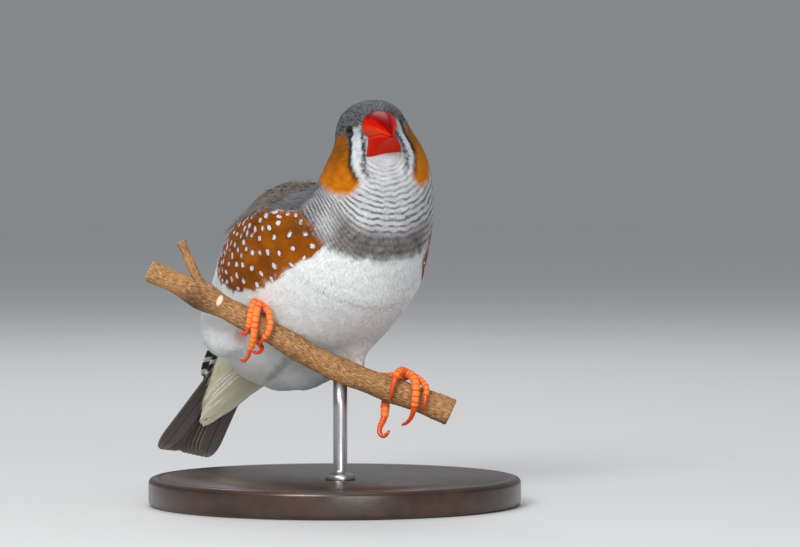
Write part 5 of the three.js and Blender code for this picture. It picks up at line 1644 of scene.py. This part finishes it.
def pad_rings(place):
    """The ball of the foot, where the toes meet."""
    middle = off_branch(place, 0.95)
    angle = turns(28)
    rim = 0.9 * np.cos(angle)[:, None] * PERCH.up + 1.05 * np.sin(angle)[:, None] * PERCH.front
    return np.array([middle + 1.5 * math.cos(a) * PERCH.left + 1.2 * math.sin(a) * rim
                     for a in np.linspace(0, math.pi, 18)[1:-1]])


def bark_material(settings):
    """Bark with grain along the branch, painted shade round a swelling and the twig's root, a pale leaf scar and bare
    wood on the cut ends.
    """
    made, sh, skin = material("bark", roughness=0.8, Specular_IOR_Level=0.3)
    along, round_ = sh.times(sh.number("run_mm"), 0.0006), sh.times(sh.number("turn"), 0.0032)
    grain = sh.noise(1400.0, 6.0, sh.node("CombineXYZ", X=along, Y=round_).outputs[0], 0.6)
    broad, bark = sh.noise(220.0, 3.0), np.array(settings.bark)
    rings = sh.math("SINE", sh.times(sh.number("core_mm"), 14.0))
    wood = sh.mix(sh.scaled(rings, 0.3, 0.5), linear(214, 184, 136), linear(186, 150, 100))
    colour = sh.mix(sh.ramp(grain, 0.37, 0.63), bark * 0.34, bark)
    for mask, over in ((sh.times(sh.ramp(grain, 0.58, 0.7), 0.75), linear(218, 172, 126)),
                       (sh.times(sh.ramp(broad, 0.5, 0.75), 0.55), linear(190, 140, 84)),
                       (sh.times(sh.ramp(broad, 0.25, 0.42, 1.0, 0.0), 0.5), linear(84, 52, 34)),
                       # Painted shade round the swelling and at the twig's root
                       (sh.times(sh.number("swollen"), 0.75), linear(70, 42, 34)),
                       (sh.ramp(sh.number("scar"), 0.45, 0.62), linear(238, 216, 182)),
                       (sh.ramp(sh.number("cut"), 0.45, 0.55), wood)):
        colour = sh.mix(mask, colour, over)
    colour, height = sh.mottled(colour, 1100.0, 0.3)
    sh.finish(skin, colour, sh.plus(grain, sh.times(height, 0.5)), 0.00022, 0.8)
    return made


def perch_rings():
    runs = np.linspace(BRANCH["from"], BRANCH["to"], 300)
    angle = turns(72)
    run, a = np.meshgrid(runs, angle, indexing="ij")
    radius = branch_radius(run) * (1 + 0.03 * np.sin(3 * a + run * 0.3))
    edge = np.minimum(run - BRANCH["from"], BRANCH["to"] - run)
    radius = radius - 0.22 * np.maximum(1 - edge / 0.3, 0) ** 2
    points = on_perch(run, branch_bend(run) + radius * np.cos(a), radius * np.sin(a))
    return run, a, points, radius


class FINCH_OT_perch(bpy.types.Operator):
    """The cut length of branch: bark with grain, pores, a swollen node, a leaf scar and a twig stub"""
    bl_idname = "finch.perch"
    bl_label = "Perch"

    def execute(self, context):
        settings = context.scene.finch_stand
        bundle = Bundle()
        run, a, points, radius = perch_rings()
        scar_at = on_perch(SCAR_RUN, branch_bend(SCAR_RUN) + 1.0, branch_radius(SCAR_RUN) * 0.93)
        far = (points - scar_at) @ np.array([PERCH.left / 0.6, PERCH.up / 1.4, PERCH.front / 1.6]).T
        scar = np.clip(1 - 0.5 * np.linalg.norm(far, axis=-1), 0, 1)
        # Painted shade round the swollen node, on all but its top
        swollen = np.exp(-((run + 32) / 3.2) ** 2) * ease(-np.cos(a), -0.9, 0.6)
        bundle.add(points, run_mm=run, turn=a * 2.5, swollen=swollen, scar=scar, cut=0.0, core_mm=radius)
        for end, way in ((BRANCH["from"], 1), (BRANCH["to"], -1)):
            add_cut_face(bundle, end, way)
        add_twig_stub(bundle)
        thing = added("perch_making", bundle.mesh("perch"))
        modifier = thing.modifiers.new("Bark and pores", "NODES")
        modifier.node_group, sockets = bark_tree(bark_material(settings))
        for label, value in (("Ridge height", 0.00022), ("Pore count", settings.pores), ("Pore size", 0.00021),
                             ("Seed", settings.pore_seed)):
            modifier[sockets[label]] = value
        piece("perch_bark", settled(thing, "perch_bark"), None, "bark", "perch")
        return {"FINISHED"}


def add_cut_face(bundle, end, way):
    """A thin disc of bare wood over a sawn end."""
    steps = np.linspace(1, 0.02, 14)[:, None]
    turn = turns(72)[None, :]
    rim = (branch_radius(end) * (1 + 0.03 * np.sin(3 * turn + end * 0.3)) - 0.2) * steps
    up, front = branch_bend(end) + rim * np.cos(turn), rim * np.sin(turn)
    face, back = on_perch(end - way * 0.03, up, front), on_perch(end + way * 0.3, up, front)
    core = np.concatenate([rim[::-1], rim])
    bundle.add(np.concatenate([back[::-1], face]), run_mm=core, turn=core, swollen=0.0, scar=0.0, cut=1.0, core_mm=core)


def add_twig_stub(bundle):
    """The cut-off twig near the branch's high end."""
    def girth(t, angle):
        thick = lerp(1.5, 0.95, np.minimum(t * 2.2, 1)) + 0.12 * np.sin(t * 14)
        return thick * (1 + 0.04 * np.sin(3 * angle + 9 * t)) - 0.12 * ease(t, 0.985, 1.0)

    line, _ = curve_points([on_perch(-30.5, 0.4, 0), on_perch(-35, 4, 0.4), on_perch(-40, 8.4, 0.2)], 90)
    ts = np.linspace(0, 1, 90)[:, None]
    # The twig's root takes painted shade where it meets the branch
    bundle.add(tube_rings(line, (0, 0, 1), girth, 40), run_mm=ts * 14 + 90, turn=np.linspace(0, 6, 40)[None, :],
               swollen=0.35 * (1 - ease(ts, 0.0, 0.4)), scar=0.0, cut=ease(ts, 0.995, 1.0), core_mm=1.0)


def bark_tree(bark):
    """Geometry nodes: fine ridges along the bark, and pale pores scattered over it."""
    pore, sh, skin = material("bark_pore", roughness=0.85)
    sh.feed(skin.inputs["Base Color"], sh.mottled(linear(206, 168, 116), 2400.0, 0.3)[0])
    tree = bpy.data.node_groups.new("Bark and pores", "GeometryNodeTree")
    face = tree.interface
    face.new_socket("Geometry", in_out="INPUT", socket_type="NodeSocketGeometry")
    sockets = {}
    for label, kind, default in (("Ridge height", "NodeSocketFloat", 0.0001), ("Pore count", "NodeSocketInt", 100),
                                 ("Pore size", "NodeSocketFloat", 0.0002), ("Seed", "NodeSocketInt", 0)):
        socket = face.new_socket(label, in_out="INPUT", socket_type=kind)
        socket.default_value = default
        sockets[label] = socket.identifier
    face.new_socket("Geometry", in_out="OUTPUT", socket_type="NodeSocketGeometry")
    sh = Shader(tree)
    given, out = sh.node("NodeGroupInput").outputs, sh.node("NodeGroupOutput").inputs

    def named(label):
        return sh.node("GeometryNodeInputNamedAttribute", set={"data_type": "FLOAT"}, Name=label).outputs["Attribute"]

    stretched = sh.node("CombineXYZ", X=sh.times(named("run_mm"), 0.35), Y=sh.times(named("turn"), 2.0)).outputs[0]
    noise = sh.node("TexNoise", Vector=stretched, Scale=1.6, Detail=4.0, Roughness=0.6).outputs[0]
    bare = sh.minus(1.0, named("cut"))
    high = sh.times(sh.times(sh.times(sh.minus(noise, 0.5), given["Ridge height"]), bare), 2.0)
    offset = sh.node("VectorMath", set={"operation": "SCALE"}, i0=sh.node("GeometryNodeInputNormal").outputs[0],
                     Scale=high)
    ridged = sh.node("GeometryNodeSetPosition", Geometry=given["Geometry"], Offset=offset.outputs[0]).outputs[0]
    barked = sh.node("GeometryNodeSetMaterial", Geometry=ridged, Material=bark)
    face_area = sh.node("GeometryNodeInputMeshFaceArea").outputs[0]
    area = sh.node("GeometryNodeAttributeStatistic", set={"domain": "FACE", "data_type": "FLOAT"}, Geometry=ridged,
                   Attribute=face_area).outputs["Sum"]
    scatter = sh.node("GeometryNodeDistributePointsOnFaces", set={"distribute_method": "RANDOM"}, Mesh=ridged,
                      Density=sh.times(sh.math("DIVIDE", given["Pore count"], area), bare), Seed=given["Seed"])
    bead = sh.node("GeometryNodeMeshUVSphere", Segments=8, Rings=5, Radius=1.0)
    size = sh.node("FunctionNodeRandomValue", set={"data_type": "FLOAT"}, i2=0.5, i3=1.3, Seed=given["Seed"])
    wide = sh.times(size.outputs[1], given["Pore size"])
    scale = sh.node("CombineXYZ", X=wide, Y=sh.times(wide, 0.65), Z=sh.times(wide, 0.3))
    dots = sh.node("GeometryNodeInstanceOnPoints", Points=scatter.outputs["Points"], Instance=bead.outputs[0],
                   Rotation=scatter.outputs["Rotation"], Scale=scale.outputs[0])
    real = sh.node("GeometryNodeRealizeInstances", Geometry=dots.outputs[0])
    pored = sh.node("GeometryNodeSetMaterial", Geometry=real.outputs[0], Material=pore)
    joined = sh.node("GeometryNodeJoinGeometry")
    for part in (pored, barked):
        sh.feed(joined.inputs[0], part.outputs[0])
    sh.feed(out["Geometry"], sh.node("GeometryNodeSetShadeSmooth", Geometry=joined.outputs[0]).outputs[0])
    return tree, sockets


class FINCH_OT_stand(bpy.types.Operator):
    """The turned wooden base and the brushed rod"""
    bl_idname = "finch.stand"
    bl_label = "Stand"

    def execute(self, context):
        base, rod = Bundle(), Bundle()
        base.add(lathe_rings(base_profile(), 160, (0, 0)))
        wood = wood_material(np.array(context.scene.finch_stand.wood))
        piece("base_turned", base.mesh("base"), wood, "base_wood", "stand_base")
        foot = on_perch(ROD_RUN, 0, 0)
        top = foot[2] + branch_bend(ROD_RUN) - branch_radius(ROD_RUN) * 0.6
        rod.add(lathe_rings(rod_profile(top), 64, (foot[0], foot[1])))
        piece("rod_brushed", rod.mesh("rod"), steel_material(), "rod_steel", "stand_rod")
        return {"FINISHED"}


def base_profile():
    """From the middle of the underside round the rounded rim and a thin turned line to the middle of the top."""
    radius, height, edge = 40.0, 6.0, 1.2
    profile = [(0.4, 0), (radius - edge, 0)]
    for a in np.linspace(0.2, math.pi / 2, 6):
        profile.append((radius - edge + edge * math.sin(a), edge - edge * math.cos(a)))
    profile += [(radius, height - edge)]
    profile += [(radius - edge + edge * math.cos(a), height - edge + edge * math.sin(a))
                for a in np.linspace(0.2, math.pi / 2, 8)]
    return profile + [(radius - 2.2, height), (radius - 2.5, height - 0.22), (radius - 2.8, height), (0.4, height)]


def rod_profile(top):
    """The rod with a turned flange at its foot."""
    corners = [(0.2, 6.02), (3.2, 6.02), (3.25, 6.4), (3.2, 6.9), (2.9, 7.25), (2.2, 7.45), (1.75, 7.6), (1.55, 7.9),
               (1.5, 8.3), (1.5, top), (0.2, top)]
    profile = [corners[0]]
    for (ra, za), (rb, zb) in zip(corners, corners[1:]):
        profile += [(lerp(ra, rb, q), lerp(za, zb, q)) for q in np.linspace(0, 1, 4)[1:]]
    return profile


def wood_material(stain):
    """Stained wood under satin varnish, its grain along Y."""
    made, sh, skin = material("stained_wood", roughness=0.35, Coat_Weight=0.35, Coat_Roughness=0.2)
    figure = sh.noise(230.0, 5.0, sh.place((1, 0.08, 1)), 0.6)
    fine = sh.noise(1500.0, 3.0, sh.place((1, 0.05, 1)))
    colour = sh.mix(sh.ramp(figure, 0.3, 0.7), stain * 0.45, stain)
    colour = sh.mix(sh.times(sh.ramp(fine, 0.55, 0.75), 0.5), colour, stain * 0.3)
    colour, _ = sh.mottled(colour, 160.0, 0.25)
    sh.feed(skin.inputs["Roughness"], sh.scaled(fine, 0.2, 0.25))
    sh.finish(skin, colour, fine, 0.00005, 0.5)
    return made


def steel_material():
    """Steel brushed along the rod."""
    made, sh, skin = material("brushed_steel", roughness=0.32, Metallic=1.0)
    brush = sh.noise(900.0, 4.0, sh.place((6, 6, 0.25)))
    sh.feed(skin.inputs["Roughness"], sh.scaled(brush, 0.25, 0.2))
    sh.finish(skin, sh.mix(brush, linear(150, 150, 152), linear(206, 206, 208)), brush, 0.00002, 0.4)
    return made


def lathe_rings(profile, around, middle):
    angle = turns(around)
    return np.array([np.stack([middle[0] + r * np.cos(angle), middle[1] + r * np.sin(angle), np.full(around, z)], 1)
                     for r, z in profile])


# The middle of the picture in metres, and the lamps: azimuth, elevation, distance, size, power and colour
LOOKED_AT = np.array([8.84, -13.48, 49.96]) * MM
LAMPS = (("key", -48, 30, 0.75, 0.3, 3.9, (1.0, 0.985, 0.96)), ("fill", -14, 2, 0.95, 0.45, 3.1, (0.97, 0.985, 1.0)),
         ("rim", 160, 48, 0.8, 0.45, 1.9, (1.0, 1.0, 1.0)), ("top", -20, 80, 0.9, 0.6, 1.2, (1.0, 1.0, 1.0)))


class FINCH_OT_stage(bpy.types.Operator):
    """Pale floor that curves up all round, soft lights and the camera"""
    bl_idname = "finch.stage"
    bl_label = "Stage"

    def execute(self, context):
        settings = context.scene.finch_stage
        flat, deep = 2200.0, 900.0
        profile = [(r, 0.0) for r in (1, 200, 800, 1500, flat)]
        profile += [(flat + deep * math.sin(a), deep - deep * math.cos(a)) for a in np.linspace(0.1, math.pi / 2, 14)]
        profile += [(flat + deep, 1600.0)]
        rings = lathe_rings(profile, 96, (0, 0))
        count, around = rings.shape[:2]
        i, j = np.meshgrid(np.arange(count - 1), np.arange(around), indexing="ij")
        k = (j + 1) % around
        n = i + 1
        quads = np.stack([i * around + j, n * around + j, n * around + k, i * around + k], -1).reshape(-1, 4)
        points = np.concatenate([rings.reshape(-1, 3), [[0, 0, 0]]])
        hub = np.stack([np.arange(around), (np.arange(around) + 1) % around, np.full(around, len(points) - 1)], 1)
        floor = added("floor", mesh_of("floor", points, quads, hub))
        paper, sh, skin = material("pale_paper", roughness=0.9)
        sh.feed(skin.inputs["Base Color"], sh.mottled((0.66, 0.665, 0.67), 30.0, 0.02)[0])
        floor.data.materials.append(paper)
        world = context.scene.world = bpy.data.worlds.new("studio")
        world.use_nodes = True
        background = world.node_tree.nodes["Background"].inputs
        background[0].default_value, background[1].default_value = (0.93, 0.96, 1.0, 1), 0.42
        for name, azimuth, elevation, far, size, power, colour in LAMPS:
            data = bpy.data.lights.new(name, "AREA")
            data.shape, data.size, data.energy, data.color = "DISK", size, power * settings.light, colour
            lamp = stand_at(name, data, math.radians(azimuth), math.radians(elevation), far)
            lamp.visible_camera = False
        data = bpy.data.cameras.new("camera")
        data.lens, data.sensor_width, data.clip_start, data.clip_end = 211.5, 36, 0.01, 20
        context.scene.camera = stand_at("camera", data, settings.azimuth, settings.elevation, settings.distance)
        context.scene.view_settings.view_transform = "Standard"
        return {"FINISHED"}


def facing(azimuth, elevation):
    """The way from what is looked at to the one that looks, both angles in radians."""
    level = math.cos(elevation)
    return np.array([math.sin(azimuth) * level, -math.cos(azimuth) * level, math.sin(elevation)])


def stand_at(name, data, azimuth, elevation, distance):
    """A lamp or camera that stands off and looks at the middle of the picture."""
    thing = added(name, data)
    back = facing(azimuth, elevation)
    thing.location = LOOKED_AT + back * distance
    thing.rotation_mode = "QUATERNION"
    thing.rotation_quaternion = Vector(-back).to_track_quat("-Z", "Y")
    return thing


OPERATORS = (FINCH_OT_stage, FINCH_OT_skin, FINCH_OT_coat, FINCH_OT_wings, FINCH_OT_tail, FINCH_OT_face, FINCH_OT_feet,
             FINCH_OT_perch, FINCH_OT_stand)
GROUPS = {"finch_coat": FinchCoatSettings, "finch_plume": FinchPlumeSettings, "finch_face": FinchFaceSettings,
          "finch_legs": FinchLegSettings, "finch_stand": FinchStandSettings, "finch_stage": FinchStageSettings}


class FINCH_PT_panel(bpy.types.Panel):
    """Lists what builds the finch"""
    bl_idname = "FINCH_PT_panel"
    bl_label = "Zebra finch"
    bl_space_type = "VIEW_3D"
    bl_region_type = "UI"
    bl_category = "Finch"

    def draw(self, context):
        for operator in OPERATORS:
            self.layout.operator(operator.bl_idname)
        for name, kind in GROUPS.items():
            box = self.layout.box()
            for label in kind.__annotations__:
                box.prop(getattr(context.scene, name), label)


def register():
    for kind in (*GROUPS.values(), *OPERATORS, FINCH_PT_panel):
        bpy.utils.register_class(kind)
    for name, kind in GROUPS.items():
        setattr(bpy.types.Scene, name, bpy.props.PointerProperty(type=kind))


def unregister():
    for name in GROUPS:
        delattr(bpy.types.Scene, name)
    for kind in reversed((*GROUPS.values(), *OPERATORS, FINCH_PT_panel)):
        bpy.utils.unregister_class(kind)


def main():
    register()
    for operator in OPERATORS:
        category, call = operator.bl_idname.split(".")
        getattr(getattr(bpy.ops, category), call)()


if __name__ == "__main__":
    main()
